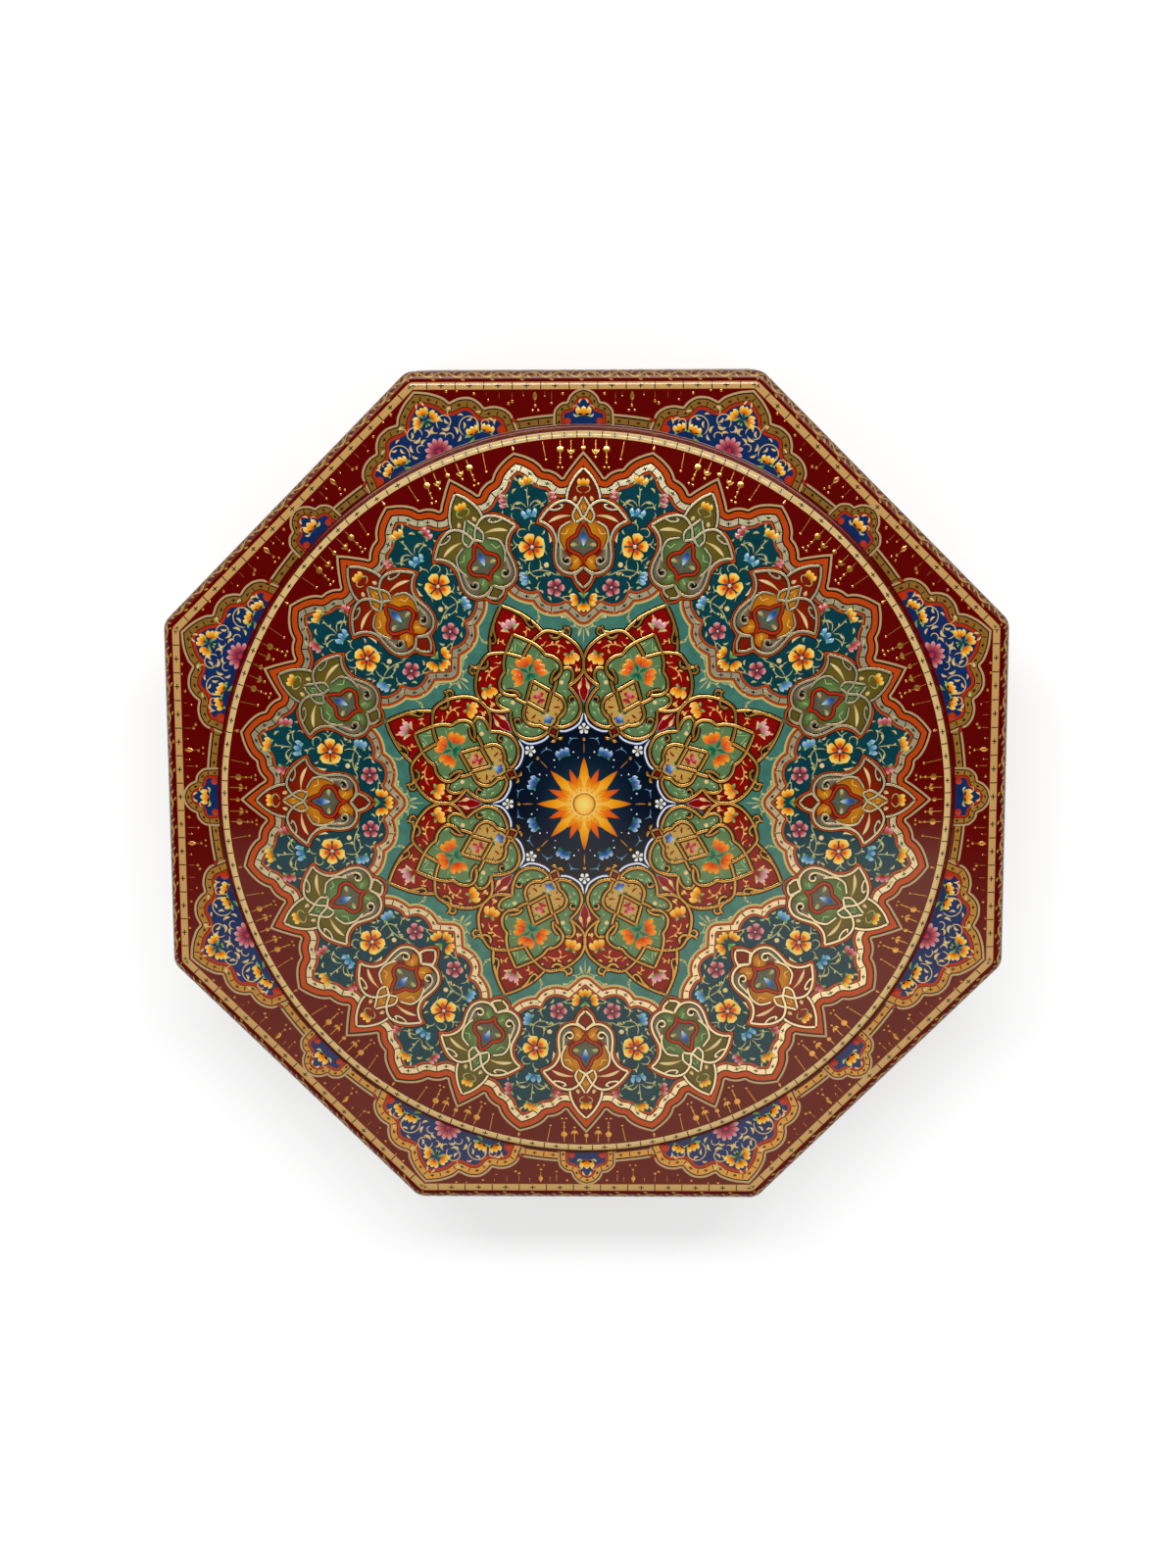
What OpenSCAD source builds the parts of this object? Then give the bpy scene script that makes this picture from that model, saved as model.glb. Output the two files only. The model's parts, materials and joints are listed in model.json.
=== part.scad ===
// Octagonal lacquered papier-mache box with a lift-off lid.
// Two moulded paper shells, a tray and a lid, meet at a flat rim. A card collar glued
// inside the tray stands up past the rim and locates the lid. A round medallion, a
// hollow domed cap, is glued on the lid, and velvet-covered cards line the inside.
// Millimetres. +Z is up. The origin is the centre of the underside, and the flats
// face +X, -X, +Y and -Y and the four directions between them.

/* [Outline] */
// Width of the box across its flats
box_flats = 280; // [220:1:340]
// Radius of the upright corners
corner_r = 6; // [6:0.5:10]

/* [Tray] */
// Height of the tray from its underside to its rim
tray_h = 52; // [40:1:90]
// Thickness of the tray's moulded wall
tray_wall = 5; // [3.5:0.5:7]
// Thickness of the tray's floor
tray_floor = 5; // [3:0.5:8]
// Radius of the tray's lower edge
foot_r = 3; // [1:0.5:5]

/* [Lid] */
// Height of the lid from its rim to its flat octagonal top
lid_h = 26; // [23:1:40]
// Thickness of the lid's top
lid_top = 5; // [3:0.5:7]
// Radius of the lid's rounded upper edge
lid_edge_r = 5.5; // [2:0.5:5.5]
// Radius that softens the two edges at the seam between tray and lid
seam_r = 0.6; // [0.2:0.1:1]
// Radius inside the corners of both moulded shells
inner_r = 2; // [1.5:0.5:3]

/* [Medallion] */
// Distance from the box's flats to the medallion's upright wall
border_w = 18.4; // [14:0.2:40]
// Rise of the medallion's rim above the lid's flat top
medallion_rise = 4.5; // [4.2:0.1:8]
// Rise of the dome above the medallion's rim
medallion_dome = 10; // [6:0.5:20]
// Thickness of the domed cap
medallion_t = 4; // [3:0.1:4.2]
// Width of the flat ring on which the cap is glued to the lid
medallion_land = 12; // [8:0.5:25]
// Radius of the medallion's rounded rim
medallion_round = 2.5; // [1:0.1:2.5]
// Radius of the hollow cove where the medallion meets the lid
medallion_cove = 1.6; // [0.5:0.1:1.6]

/* [Collar] */
// Thickness of the card collar inside the tray
collar_t = 2.4; // [2:0.1:4]
// Height of the collar above the tray's rim
collar_rise = 9; // [5:0.5:14]
// Clearance between the collar and the lid, on each side
lid_clearance = 0.5; // [0.3:0.05:1]
// Radius that softens the collar's top edge
collar_r = 0.8; // [0.3:0.1:1]

/* [Lining] */
// Thickness of each velvet-covered lining card
lining_t = 1.4; // [0.8:0.1:2.5]
// Gap left round each lining card for the turned-over cloth
lining_gap = 0.4; // [0.2:0.1:1]
// Height of the collar that stays bare above the wall lining
lining_reveal = 3; // [1:0.5:6]
// Thickness of the felt under the tray
felt_t = 1; // [0.5:0.1:3]
// Distance from the felt's edge to the tray's lower edge round
felt_inset = 2; // [1:0.5:8]

/* [Hidden] */
SIDES = 8;
WALL_NODES = ["wall_lining_1", "wall_lining_2", "wall_lining_3", "wall_lining_4",
              "wall_lining_5", "wall_lining_6", "wall_lining_7", "wall_lining_8"];

LACQUER_RED = "#6B110C";
COLLAR_BLACK = "#1C1512";
VELVET_RED = "#7A1420";
FELT_GREEN = "#2F4A38";

CORNER_FN = 32;     // facets round a full turn of an upright corner
ARC_STEPS = 8;      // steps in the quarter of a rounded edge
CIRCLE_FN = 128;    // facets round a full turn of the medallion and its small rounds
DOME_FN = 1024;     // facets round the full circle that the shallow dome is a part of
CUT = 1;            // how far a cutting solid runs past the face that it cuts
SIDE_ANGLE = 360 / SIDES;
HALF_ANGLE = SIDE_ANGLE / 2;

// Heights, from the table upwards
tray_z = felt_t;
floor_z = tray_z + tray_floor;
rim_z = tray_z + tray_h;
collar_top_z = rim_z + collar_rise;
top_z = rim_z + lid_h;

// Widths across flats, from the outside inwards
tray_inner_flats = box_flats - 2 * tray_wall;
collar_inner_flats = tray_inner_flats - 2 * collar_t;
lid_inner_flats = tray_inner_flats + 2 * lid_clearance;
felt_flats = box_flats - 2 * foot_r - 2 * felt_inset;

// The medallion's section. Its dome is an arc that meets the rim's round smoothly:
// both arcs have the same tangent where they touch.
wall_r = box_flats / 2 - border_w;
round_x = wall_r - medallion_round;
round_z = medallion_rise - medallion_round;
dome_top = medallion_rise + medallion_dome;
dome_r = dome_radius(round_x, dome_top - round_z, medallion_round);
touch_x = round_x * dome_r / (dome_r - medallion_round);

// Radius of an arc that passes through the axis at height rise over a round's centre,
// and that holds a round of radius r, with its centre at distance x, touching it inside
function dome_radius(x, rise, r) = (x * x + rise * rise - r * r) / (2 * (rise - r));

// Points of a quarter arc of radius r round centre c, from angle a to angle a + 90
function quarter(c, r, a) =
    [for (i = [0:ARC_STEPS]) let (t = a + 90 * i / ARC_STEPS) c + r * [cos(t), sin(t)]];

// Half section of a round post of radius r and height h, with its two ends rounded
function post_section(r, h, low_r, high_r) = concat(
    [[0, 0]],
    quarter([r - low_r, low_r], low_r, -90),
    quarter([r - high_r, h - high_r], high_r, 0),
    [[0, h]]);

// Distance from the centre to a corner of an octagon of this width across flats
function corner_distance(flats) = flats / 2 / cos(HALF_ANGLE);

// Length of one side of an octagon of this width across flats
function side_length(flats) = flats * tan(HALF_ANGLE);

// Puts a post at each corner of an octagon, for posts of radius r inside the flats
module at_corners(flats, r)
    for (i = [0:SIDES - 1])
        rotate(HALF_ANGLE + i * SIDE_ANGLE)
            translate([corner_distance(flats - 2 * r), 0, 0])
                children();

// A solid octagon with rounded upright corners and rounded lower and upper edges
module soft_octagon(flats, h, r, low_r, high_r)
    hull()
        at_corners(flats, r)
            rotate_extrude($fn = CORNER_FN)
                polygon(post_section(r, h, low_r, high_r));

// An octagonal prism with rounded upright corners and sharp ends
module octagon_prism(flats, h, r)
    hull()
        at_corners(flats, r)
            cylinder(r = r, h = h, $fn = CORNER_FN);

// A flat octagonal card with plain mitred corners
module octagon_card(flats, h)
    rotate(HALF_ANGLE)
        cylinder(r = corner_distance(flats), h = h, $fn = SIDES);

// The moulded lower shell: eight walls and a floor in one piece
module base_tray()
    color(LACQUER_RED)
        difference() {
            translate([0, 0, tray_z])
                soft_octagon(box_flats, tray_h, corner_r, foot_r, seam_r);
            translate([0, 0, floor_z])
                octagon_prism(tray_inner_flats, tray_h, inner_r);
        }

// The card collar, which lines the tray's wall and stands up into the lid
module base_collar()
    color(COLLAR_BLACK)
        difference() {
            translate([0, 0, floor_z])
                soft_octagon(tray_inner_flats, collar_top_z - floor_z, inner_r, seam_r, collar_r);
            translate([0, 0, floor_z - CUT])
                octagon_card(collar_inner_flats, collar_top_z - floor_z + 2 * CUT);
        }

// The felt sheet that the box stands on
module base_felt()
    color(FELT_GREEN)
        octagon_card(felt_flats, felt_t);

// The velvet-covered card on the floor
module floor_lining()
    color(VELVET_RED)
        translate([0, 0, floor_z])
            octagon_card(collar_inner_flats - 2 * lining_gap, lining_t);

// One mitred velvet-covered card on the inside of the collar. Side 0 faces +X.
module wall_lining(side) {
    outer = collar_inner_flats / 2;
    inner = outer - lining_t;
    outer_half = side_length(2 * outer) / 2 - lining_gap;
    inner_half = side_length(2 * inner) / 2 - lining_gap;
    low_z = floor_z + lining_t;
    color(VELVET_RED)
        translate([0, 0, low_z])
            rotate(side * SIDE_ANGLE)
                linear_extrude(collar_top_z - lining_reveal - low_z)
                    polygon([[inner, -inner_half], [outer, -outer_half],
                             [outer, outer_half], [inner, inner_half]]);
}

// The moulded upper shell: a flat octagonal top and a skirt in one piece
module lid_shell()
    color(LACQUER_RED)
        difference() {
            translate([0, 0, rim_z])
                soft_octagon(box_flats, lid_h, corner_r, seam_r, lid_edge_r);
            translate([0, 0, rim_z - CUT])
                octagon_prism(lid_inner_flats, lid_h - lid_top + CUT, inner_r);
        }

// The part of a disc of radius r under the dome's centre that lies over the medallion's
// seat, out to distance x from the axis
module dome_section(r, x)
    intersection() {
        translate([0, dome_top - dome_r])
            circle(r = r, $fn = DOME_FN);
        square([x, dome_top]);
    }

// The quarter round of the medallion's rim
module rim_section()
    translate([round_x, round_z])
        intersection() {
            circle(r = medallion_round, $fn = CIRCLE_FN);
            square(medallion_round);
        }

// The hollow cove at the medallion's foot
module cove_section() {
    foot_x = wall_r + medallion_cove;
    difference() {
        square([foot_x, medallion_cove]);
        translate([foot_x, medallion_cove])
            circle(r = medallion_cove, $fn = CIRCLE_FN);
    }
}

// Half section of the medallion: dome, rounded rim, upright wall and hollow cove, with
// the inside hollowed to an even thickness over a flat glued ring
module medallion_section()
    difference() {
        union() {
            dome_section(dome_r, touch_x);
            rim_section();
            square([wall_r, round_z]);
            cove_section();
        }
        dome_section(dome_r - medallion_t, wall_r - medallion_land);
    }

// The round medallion that is glued on the lid's top
module lid_medallion()
    color(LACQUER_RED)
        translate([0, 0, top_z])
            rotate_extrude($fn = CIRCLE_FN)
                medallion_section();

// The velvet-covered card under the lid's top
module lid_lining()
    color(VELVET_RED)
        translate([0, 0, top_z - lid_top - lining_t])
            octagon_card(lid_inner_flats - 2 * lining_gap - inner_r, lining_t);

base_tray();
base_collar();
base_felt();
floor_lining();
for (side = [0:SIDES - 1])
    wall_lining(side);
lid_shell();
lid_medallion();
lid_lining();
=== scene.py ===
# %% [markdown]
# # A painted and lacquered papier-mache box
# The box is an octagonal tray with a lift-off lid. On the lid a round medallion is
# raised, and the whole is painted with opaque colours and gold under a glossy varnish.
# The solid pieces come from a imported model. This lesson gives them smooth surfaces and
# lays the paint on them as thin raised films, each worked out with numpy.

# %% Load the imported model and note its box
import json
from collections import namedtuple

import bpy
import numpy as np
from mathutils import Matrix, Vector

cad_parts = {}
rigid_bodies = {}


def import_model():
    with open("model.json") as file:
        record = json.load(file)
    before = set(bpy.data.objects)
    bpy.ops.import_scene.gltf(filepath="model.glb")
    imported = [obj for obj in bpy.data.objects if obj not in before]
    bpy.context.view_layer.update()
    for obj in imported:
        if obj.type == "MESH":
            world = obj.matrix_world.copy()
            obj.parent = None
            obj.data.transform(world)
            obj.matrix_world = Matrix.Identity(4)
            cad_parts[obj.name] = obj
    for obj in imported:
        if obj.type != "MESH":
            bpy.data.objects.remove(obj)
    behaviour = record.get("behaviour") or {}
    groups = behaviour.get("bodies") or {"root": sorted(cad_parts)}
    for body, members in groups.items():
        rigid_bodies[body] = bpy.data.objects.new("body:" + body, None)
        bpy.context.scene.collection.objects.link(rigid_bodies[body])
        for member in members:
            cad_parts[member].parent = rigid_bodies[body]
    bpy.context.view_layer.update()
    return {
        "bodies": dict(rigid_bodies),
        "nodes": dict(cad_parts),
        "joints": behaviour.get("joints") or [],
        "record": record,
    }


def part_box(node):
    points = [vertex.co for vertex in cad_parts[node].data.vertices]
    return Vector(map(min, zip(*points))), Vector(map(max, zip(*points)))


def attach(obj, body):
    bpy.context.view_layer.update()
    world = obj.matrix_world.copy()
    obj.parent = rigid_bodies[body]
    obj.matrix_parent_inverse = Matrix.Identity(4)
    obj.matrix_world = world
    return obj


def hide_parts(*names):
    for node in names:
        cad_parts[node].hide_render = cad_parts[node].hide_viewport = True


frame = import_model()

# %% [markdown]
# ## Sizes
# All drawing is done in millimetres, and a last step turns it into metres. The sizes
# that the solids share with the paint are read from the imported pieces, so that each
# film lies on its carrier. Only what a box can't tell, such as a corner's radius, is
# written here.

# %% Sizes in millimetres
MM = 0.001


def node_box(name):
    """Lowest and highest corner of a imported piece, in millimetres."""
    low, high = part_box(name)
    return np.array(low) / MM, np.array(high) / MM


tray_low = node_box("base_tray")[0]
lid_low, lid_high = node_box("lid_shell")
medallion_high = node_box("lid_medallion")[1]

HALF = lid_high[0]                 # from the axis to a flat side
TRAY_Z, RIM_Z, TOP_Z = tray_low[2], lid_low[2], lid_high[2]
CREST_Z = medallion_high[2]        # top of the dome
FOOT_R = medallion_high[0]         # outer radius of the medallion's cove
CORNER_R, EDGE_R = 6.0, 5.5        # upright corners, and the lid's upper edge
LOWER_EDGE_R, SEAM_R = 3.0, 0.6    # the tray's lower edge, and the edges at the seam
SHELL_WALL, FLOOR_T, INNER_R = 5.0, 5.0, 2.0
LID_GAP, COLLAR_T, COLLAR_R = 0.5, 2.4, 0.8
COVE_R, RIM_ROUND = 1.6, 2.5       # the medallion's hollow foot and its rounded rim
MEDALLION_RISE = 4.5               # from the lid's top to the medallion's rim
SIDES = 8
MIDWAY, NEAR_POLE = 60, HALF - 4   # insets of the rings that carry a flat face inwards
print("half width", HALF, "rim", RIM_Z, "top", TOP_Z, "crest", CREST_Z)

# %% [markdown]
# ## The camera
# The photograph looks almost straight down on the lid. Its outline, the round rim and
# the painted tips were matched to a pinhole camera, which gave the distance, the tilt
# and the lens below. The camera turns round the middle of the lid's flat top.

# %% Camera
CAMERA_DISTANCE = 870.0                    # mm from the middle of the lid's top
CAMERA_TILT, CAMERA_YAW, CAMERA_ROLL = 9.52, -1.44, 0.25    # degrees
PHOTO_SIZE = (1200, 1600)
FOCAL_PIXELS = 2667.0
OPTICAL_CENTRE = (597.2, 813.0)            # photograph pixels
SENSOR = 36.0                              # mm along the photograph's long side
CLIP_NEAR, CLIP_FAR = 0.01, 20.0           # metres


def add_camera():
    """A camera turned about Y, X and Z in that order, and set back along its own Z."""
    turn = (Matrix.Rotation(np.radians(CAMERA_ROLL), 4, "Z")
            @ Matrix.Rotation(np.radians(CAMERA_TILT), 4, "X")
            @ Matrix.Rotation(np.radians(CAMERA_YAW), 4, "Y")).inverted()
    data = bpy.data.cameras.new("camera")
    data.sensor_fit = "VERTICAL"
    data.sensor_height = SENSOR
    data.lens = SENSOR * FOCAL_PIXELS / PHOTO_SIZE[1]
    data.shift_x = (PHOTO_SIZE[0] / 2 - OPTICAL_CENTRE[0]) / PHOTO_SIZE[1]
    data.shift_y = (OPTICAL_CENTRE[1] - PHOTO_SIZE[1] / 2) / PHOTO_SIZE[1]
    data.clip_start, data.clip_end = CLIP_NEAR, CLIP_FAR
    camera = bpy.data.objects.new("camera", data)
    middle = Matrix.Translation((0, 0, TOP_Z * MM))
    camera.matrix_world = middle @ turn @ Matrix.Translation((0, 0, CAMERA_DISTANCE * MM))
    bpy.context.scene.collection.objects.link(camera)
    bpy.context.scene.camera = camera
    return camera


camera = add_camera()
bpy.context.scene.view_settings.view_transform = "Standard"
print("camera at", camera.matrix_world.translation)

# %% [markdown]
# ## Colours and materials
# A colour is written as the sRGB hex value that the eye would name, and one function
# turns it to the linear numbers that a shader needs. One small helper adds a node with
# its settings and links.

# %% Colour and node helpers


def linear(hex_colour):
    """sRGB hex to linear RGB: the sRGB curve undone, channel by channel."""
    s = np.array([int(hex_colour[i:i + 2], 16) for i in (1, 3, 5)]) / 255
    return np.where(s <= 0.04045, s / 12.92, ((s + 0.055) / 1.055) ** 2.4)


def rgba(hex_colour):
    return (*linear(hex_colour), 1.0)


def add_node(tree, kind, settings=None, inputs=None):
    """A node with its settings; each input is a value, or a socket to link from."""
    node = tree.nodes.new(kind)
    for name, value in (settings or {}).items():
        setattr(node, name, value)
    for key, value in (inputs or {}).items():
        if isinstance(value, bpy.types.NodeSocket):
            tree.links.new(value, node.inputs[key])
        else:
            node.inputs[key].default_value = value
    return node


def new_material(name, **values):
    """A material, its tree and its Principled shader, with values for the shader."""
    material = bpy.data.materials.new(name)
    material.use_nodes = True
    shader = material.node_tree.nodes["Principled BSDF"]
    for key, value in values.items():
        shader.inputs[key.replace("_", " ")].default_value = value
    return material, material.node_tree, shader


MATT = 0.5                         # roughness of paint below its varnish
VARNISH = {"Specular_IOR_Level": 0.0, "Coat_Weight": 1.0, "Coat_Roughness": 0.05, "Coat_IOR": 1.46}


def noise(tree, grain_mm, detail=3.0):
    """Noise whose patches are about grain_mm wide, in object coordinates."""
    place = add_node(tree, "ShaderNodeTexCoord").outputs["Object"]
    settings = {"Vector": place, "Scale": 1 / (grain_mm * MM), "Detail": detail}
    return add_node(tree, "ShaderNodeTexNoise", inputs=settings).outputs[0]


def brush_bump(tree, shader, grain_mm, depth_mm):
    """A soft unevenness of the surface, of that grain and depth."""
    bump = add_node(tree, "ShaderNodeBump", inputs={
        "Strength": 1.0, "Distance": depth_mm * MM, "Height": noise(tree, grain_mm)})
    tree.links.new(bump.outputs[0], shader.inputs["Normal"])


def varied_paint(name, dark, light, grain_mm):
    """Opaque paint under varnish whose colour drifts between two near tones."""
    material, tree, shader = new_material(name, Roughness=MATT, **VARNISH)
    tone = add_node(tree, "ShaderNodeMix", {"data_type": "RGBA"}, {
        0: noise(tree, grain_mm, 4.0), 6: rgba(dark), 7: rgba(light)})
    tree.links.new(tone.outputs[2], shader.inputs["Base Color"])
    return material


# %% [markdown]
# ## Finishes
# Body colour is gouache: pigment in gum, matt and a little uneven until the clear
# varnish over it makes it glossy and deep. Gold and silver are shell metals, fine
# metal powder in gum. Their wide bands lie flat and turn dark or bright as one sheet,
# and their narrow lines stand up as slight beads, so that a line keeps a bright side.
# The grounds drift in tone; small strokes carry their colours on the mesh, so that a
# petal can shade from red to yellow.

# %% Materials of the painted surfaces
lacquer_red = varied_paint("oxblood_lacquer", "#550101", "#660202", 11.0)
dark_teal = varied_paint("dark_teal_gouache", "#032C36", "#0B4650", 4.0)
pale_teal = varied_paint("pale_teal_gouache", "#285652", "#4E8874", 3.6)
ultramarine = varied_paint("ultramarine_gouache", "#0A1E48", "#14366C", 4.0)


def stroke_paint():
    """Gouache whose colour is stored on the mesh, in the attribute named paint."""
    material, tree, shader = new_material("gouache_strokes", Roughness=MATT, **VARNISH)
    colour = add_node(tree, "ShaderNodeAttribute", {"attribute_name": "paint"})
    tree.links.new(colour.outputs["Color"], shader.inputs["Base Color"])
    return material


BURNISH, BRUSH_GRAIN, BRUSH_DEPTH = 0.22, 1.4, 0.03    # roughness, and mm of unevenness


def shell_metal(name, colour, metallic):
    """Metal powder in gum: metallic, with a hand-laid unevenness about a millimetre wide."""
    material, tree, shader = new_material(
        name, Base_Color=rgba(colour), Metallic=metallic, Roughness=BURNISH,
        Coat_Weight=1.0, Coat_Roughness=0.06)
    brush_bump(tree, shader, BRUSH_GRAIN, BRUSH_DEPTH)
    return material


gouache = stroke_paint()
shell_gold = shell_metal("shell_gold", "#D39A40", 0.75)
shell_silver = shell_metal("shell_silver", "#EADCB4", 0.72)

# %% [markdown]
# ## Surfaces from rings
# Each moulded shell is one profile carried round the octagon: a list of insets from the
# flat sides with their heights. Every inset gives a ring, the rings are joined by a
# grid of faces, and a pole closes each end.

# %% Mesh helpers


def grid_faces(rows, columns, ring=False, tube=False):
    """Faces between neighbouring rows. A ring closes each row, a tube the row order."""
    i = np.arange(rows if tube else rows - 1)[:, None]
    j = np.arange(columns if ring else columns - 1)[None, :]
    k, m = (j + 1) % columns, (i + 1) % rows
    corners = [i * columns + j, m * columns + j, m * columns + k, i * columns + k]
    return np.stack(np.broadcast_arrays(*corners), -1).reshape(-1, 4)


def fan_faces(middle, ring):
    """Triangles from a middle point to the points of a ring, given by their numbers."""
    return np.stack([np.full(len(ring), middle), ring, np.roll(ring, -1)], -1)


def make_mesh(name, points, faces, material, smooth_angle=40.0):
    """A smooth mesh object, in metres. faces is a list of arrays of point numbers."""
    mesh = bpy.data.meshes.new(name)
    mesh.from_pydata((points * MM).tolist(), [], [f for part in faces for f in part.tolist()])
    mesh.shade_smooth()
    mesh.set_sharp_from_angle(angle=np.radians(smooth_angle))
    mesh.materials.append(material)
    piece = bpy.data.objects.new(name, mesh)
    bpy.context.scene.collection.objects.link(piece)
    return piece


def cup_surface(rings):
    """Points and faces of rings joined in order, with a pole at each end's middle."""
    count, around = rings.shape[:2]
    points = np.vstack([rings.reshape(-1, 3), rings[0].mean(0), rings[-1].mean(0)])
    first, last = np.arange(around), np.arange(around) + (count - 1) * around
    faces = [grid_faces(count, around, ring=True), fan_faces(count * around, first),
             fan_faces(count * around + 1, last[::-1])]
    return points, faces


def quarter(across, height, radius, start, steps=8):
    """Points of a quarter circle round a centre, from an angle in degrees."""
    turn = np.radians(np.linspace(start, start + 90, steps + 1))
    return np.stack([across + radius * np.cos(turn), height + radius * np.sin(turn)], 1)


def raised(plan, height):
    """Rings of plan points with each ring's height put beside them."""
    return np.concatenate([plan, np.broadcast_to(
        height[:, None, None],
        (*plan.shape[:2], 1))], 2)


def stand_in(piece, node, body):
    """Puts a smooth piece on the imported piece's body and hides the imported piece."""
    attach(piece, body)
    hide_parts(node)


# %% [markdown]
# ## The outline of the octagon
# The paint on the rim and the walls follows the outline too, so one function gives the
# place on it. Its first number runs along the outer edge, from the middle of the side
# that faces +X; the second is the inset. On a side the inset moves the point straight
# in. On a corner it shortens the arc's radius, and the arc is drawn round the same
# centre.

# %% Places on the octagon's outline
CORNER_ARC = CORNER_R * 2 * np.pi / SIDES
STRAIGHT = (HALF - CORNER_R) * np.tan(np.pi / SIDES)      # half the straight part
PITCH = 2 * STRAIGHT + CORNER_ARC                         # from side to side
LEAST_R = 0.12                                            # where a corner would turn sharp
SIDE_STEPS, CORNER_STEPS = 14, 8                          # of a shell's ring


def outline_point(along, inset):
    """Plan position and outward direction at a length along the outline, inset inwards."""
    along, inset = np.broadcast_arrays(np.asarray(along, float), np.asarray(inset, float))
    side = np.round(along / PITCH)
    rest = along - side * PITCH
    radius = np.maximum(CORNER_R - inset, LEAST_R)
    centre = HALF - inset - radius
    reach = centre * np.tan(np.pi / SIDES)
    turn = np.sign(rest) * np.maximum(np.abs(rest) - STRAIGHT, 0) / CORNER_R
    across = np.where(turn == 0, rest * reach / STRAIGHT, np.sign(rest) * reach)
    x, y = centre + radius * np.cos(turn), across + radius * np.sin(turn)
    angle = side * 2 * np.pi / SIDES
    cos, sin = np.cos(angle), np.sin(angle)
    out = angle + turn
    return (np.stack([x * cos - y * sin, x * sin + y * cos], -1),
            np.stack([np.cos(out), np.sin(out)], -1))


def outline_stops():
    """Lengths along the outline at which a shell needs a point: many on the corners."""
    side = np.linspace(-STRAIGHT, STRAIGHT, SIDE_STEPS + 1)
    corner = STRAIGHT + CORNER_ARC * np.linspace(0, 1, CORNER_STEPS + 1)[1:-1]
    one = np.concatenate([side, corner])
    return (one[None] + PITCH * np.arange(SIDES)[:, None]).ravel()


def octagon_rings(profile):
    """One ring per row of the profile, which holds insets and heights."""
    inset, height = np.asarray(profile, float).T
    return raised(outline_point(outline_stops()[None], inset[:, None])[0], height)


# %% [markdown]
# ## The moulded shells
# The lid and the tray are layered paper, pressed over a wooden form. The lid's upper
# edge is a full quarter round, and both shells have a slight softening where they meet,
# which draws the fine dark line of the seam.

# %% Lid shell and tray
SOFT = 0.3                         # mm cut off the inner edges at the seam


def lid_profile():
    """Inset and height from the top's middle, over the edge, and back up inside."""
    inside = SHELL_WALL - LID_GAP
    ceiling = TOP_Z - FLOOR_T
    top = [[inset, TOP_Z] for inset in (NEAR_POLE, HALF - 40, MIDWAY, 30, 9)]
    edge = quarter(EDGE_R, TOP_Z - EDGE_R, -EDGE_R, -90, 12)
    seam = quarter(SEAM_R, RIM_Z + SEAM_R, -SEAM_R, 0, 4)
    within = [[inside - SOFT, RIM_Z], [inside, RIM_Z + SOFT], [inside, ceiling - INNER_R],
              [inside + 0.6, ceiling - 0.6], [inside + INNER_R, ceiling], [MIDWAY, ceiling],
              [NEAR_POLE, ceiling]]
    return np.vstack([top, edge, seam, within])


def tray_profile():
    """Inset and height from the floor's middle, up inside, over the rim and down."""
    floor = TRAY_Z + FLOOR_T
    within = [[NEAR_POLE, floor], [MIDWAY, floor], [SHELL_WALL + 0.4, floor],
              [SHELL_WALL, floor + 0.4], [SHELL_WALL, RIM_Z - SOFT],
              [SHELL_WALL - SOFT, RIM_Z]]
    rim = quarter(SEAM_R, RIM_Z - SEAM_R, -SEAM_R, -90, 4)
    foot = quarter(LOWER_EDGE_R, TRAY_Z + LOWER_EDGE_R, -LOWER_EDGE_R, 0)
    return np.vstack([within, rim, foot, [[MIDWAY, TRAY_Z], [NEAR_POLE, TRAY_Z]]])


for name, profile, node, body in (("lid_shell_moulded", lid_profile(), "lid_shell", "lid"),
                                  ("tray_moulded", tray_profile(), "base_tray", "base")):
    shell = make_mesh(name, *cup_surface(octagon_rings(profile)), lacquer_red)
    stand_in(shell, node, body)
    print(name, len(profile), "rings")

# %% Medallion
WALL_R = FOOT_R - COVE_R
RIM_X = WALL_R - RIM_ROUND                     # centre of the rim's round
RIM_Y = MEDALLION_RISE - RIM_ROUND
DOME_RISE = CREST_Z - TOP_Z - RIM_Y
DOME_R = (RIM_X ** 2 + DOME_RISE ** 2 - RIM_ROUND ** 2) / (2 * (DOME_RISE - RIM_ROUND))
TOUCH_R = RIM_X * DOME_R / (DOME_R - RIM_ROUND)     # where dome and rim meet
DOME_RINGS, RING_POINTS = 34, 256


def medallion_height(r):
    """Height and outward slope over the lid's top: a sphere's cap, then the rim's arc."""
    dome = CREST_Z - DOME_R + np.sqrt(DOME_R ** 2 - np.minimum(r, TOUCH_R) ** 2)
    past = np.clip(r - RIM_X, 0, RIM_ROUND * 0.999)
    rim = TOP_Z + RIM_Y + np.sqrt(RIM_ROUND ** 2 - past ** 2)
    steep = np.where(r < TOUCH_R, r / (dome - CREST_Z + DOME_R),
                     past / np.sqrt(RIM_ROUND ** 2 - past ** 2))
    return np.where(r < TOUCH_R, dome, rim), steep


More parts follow.
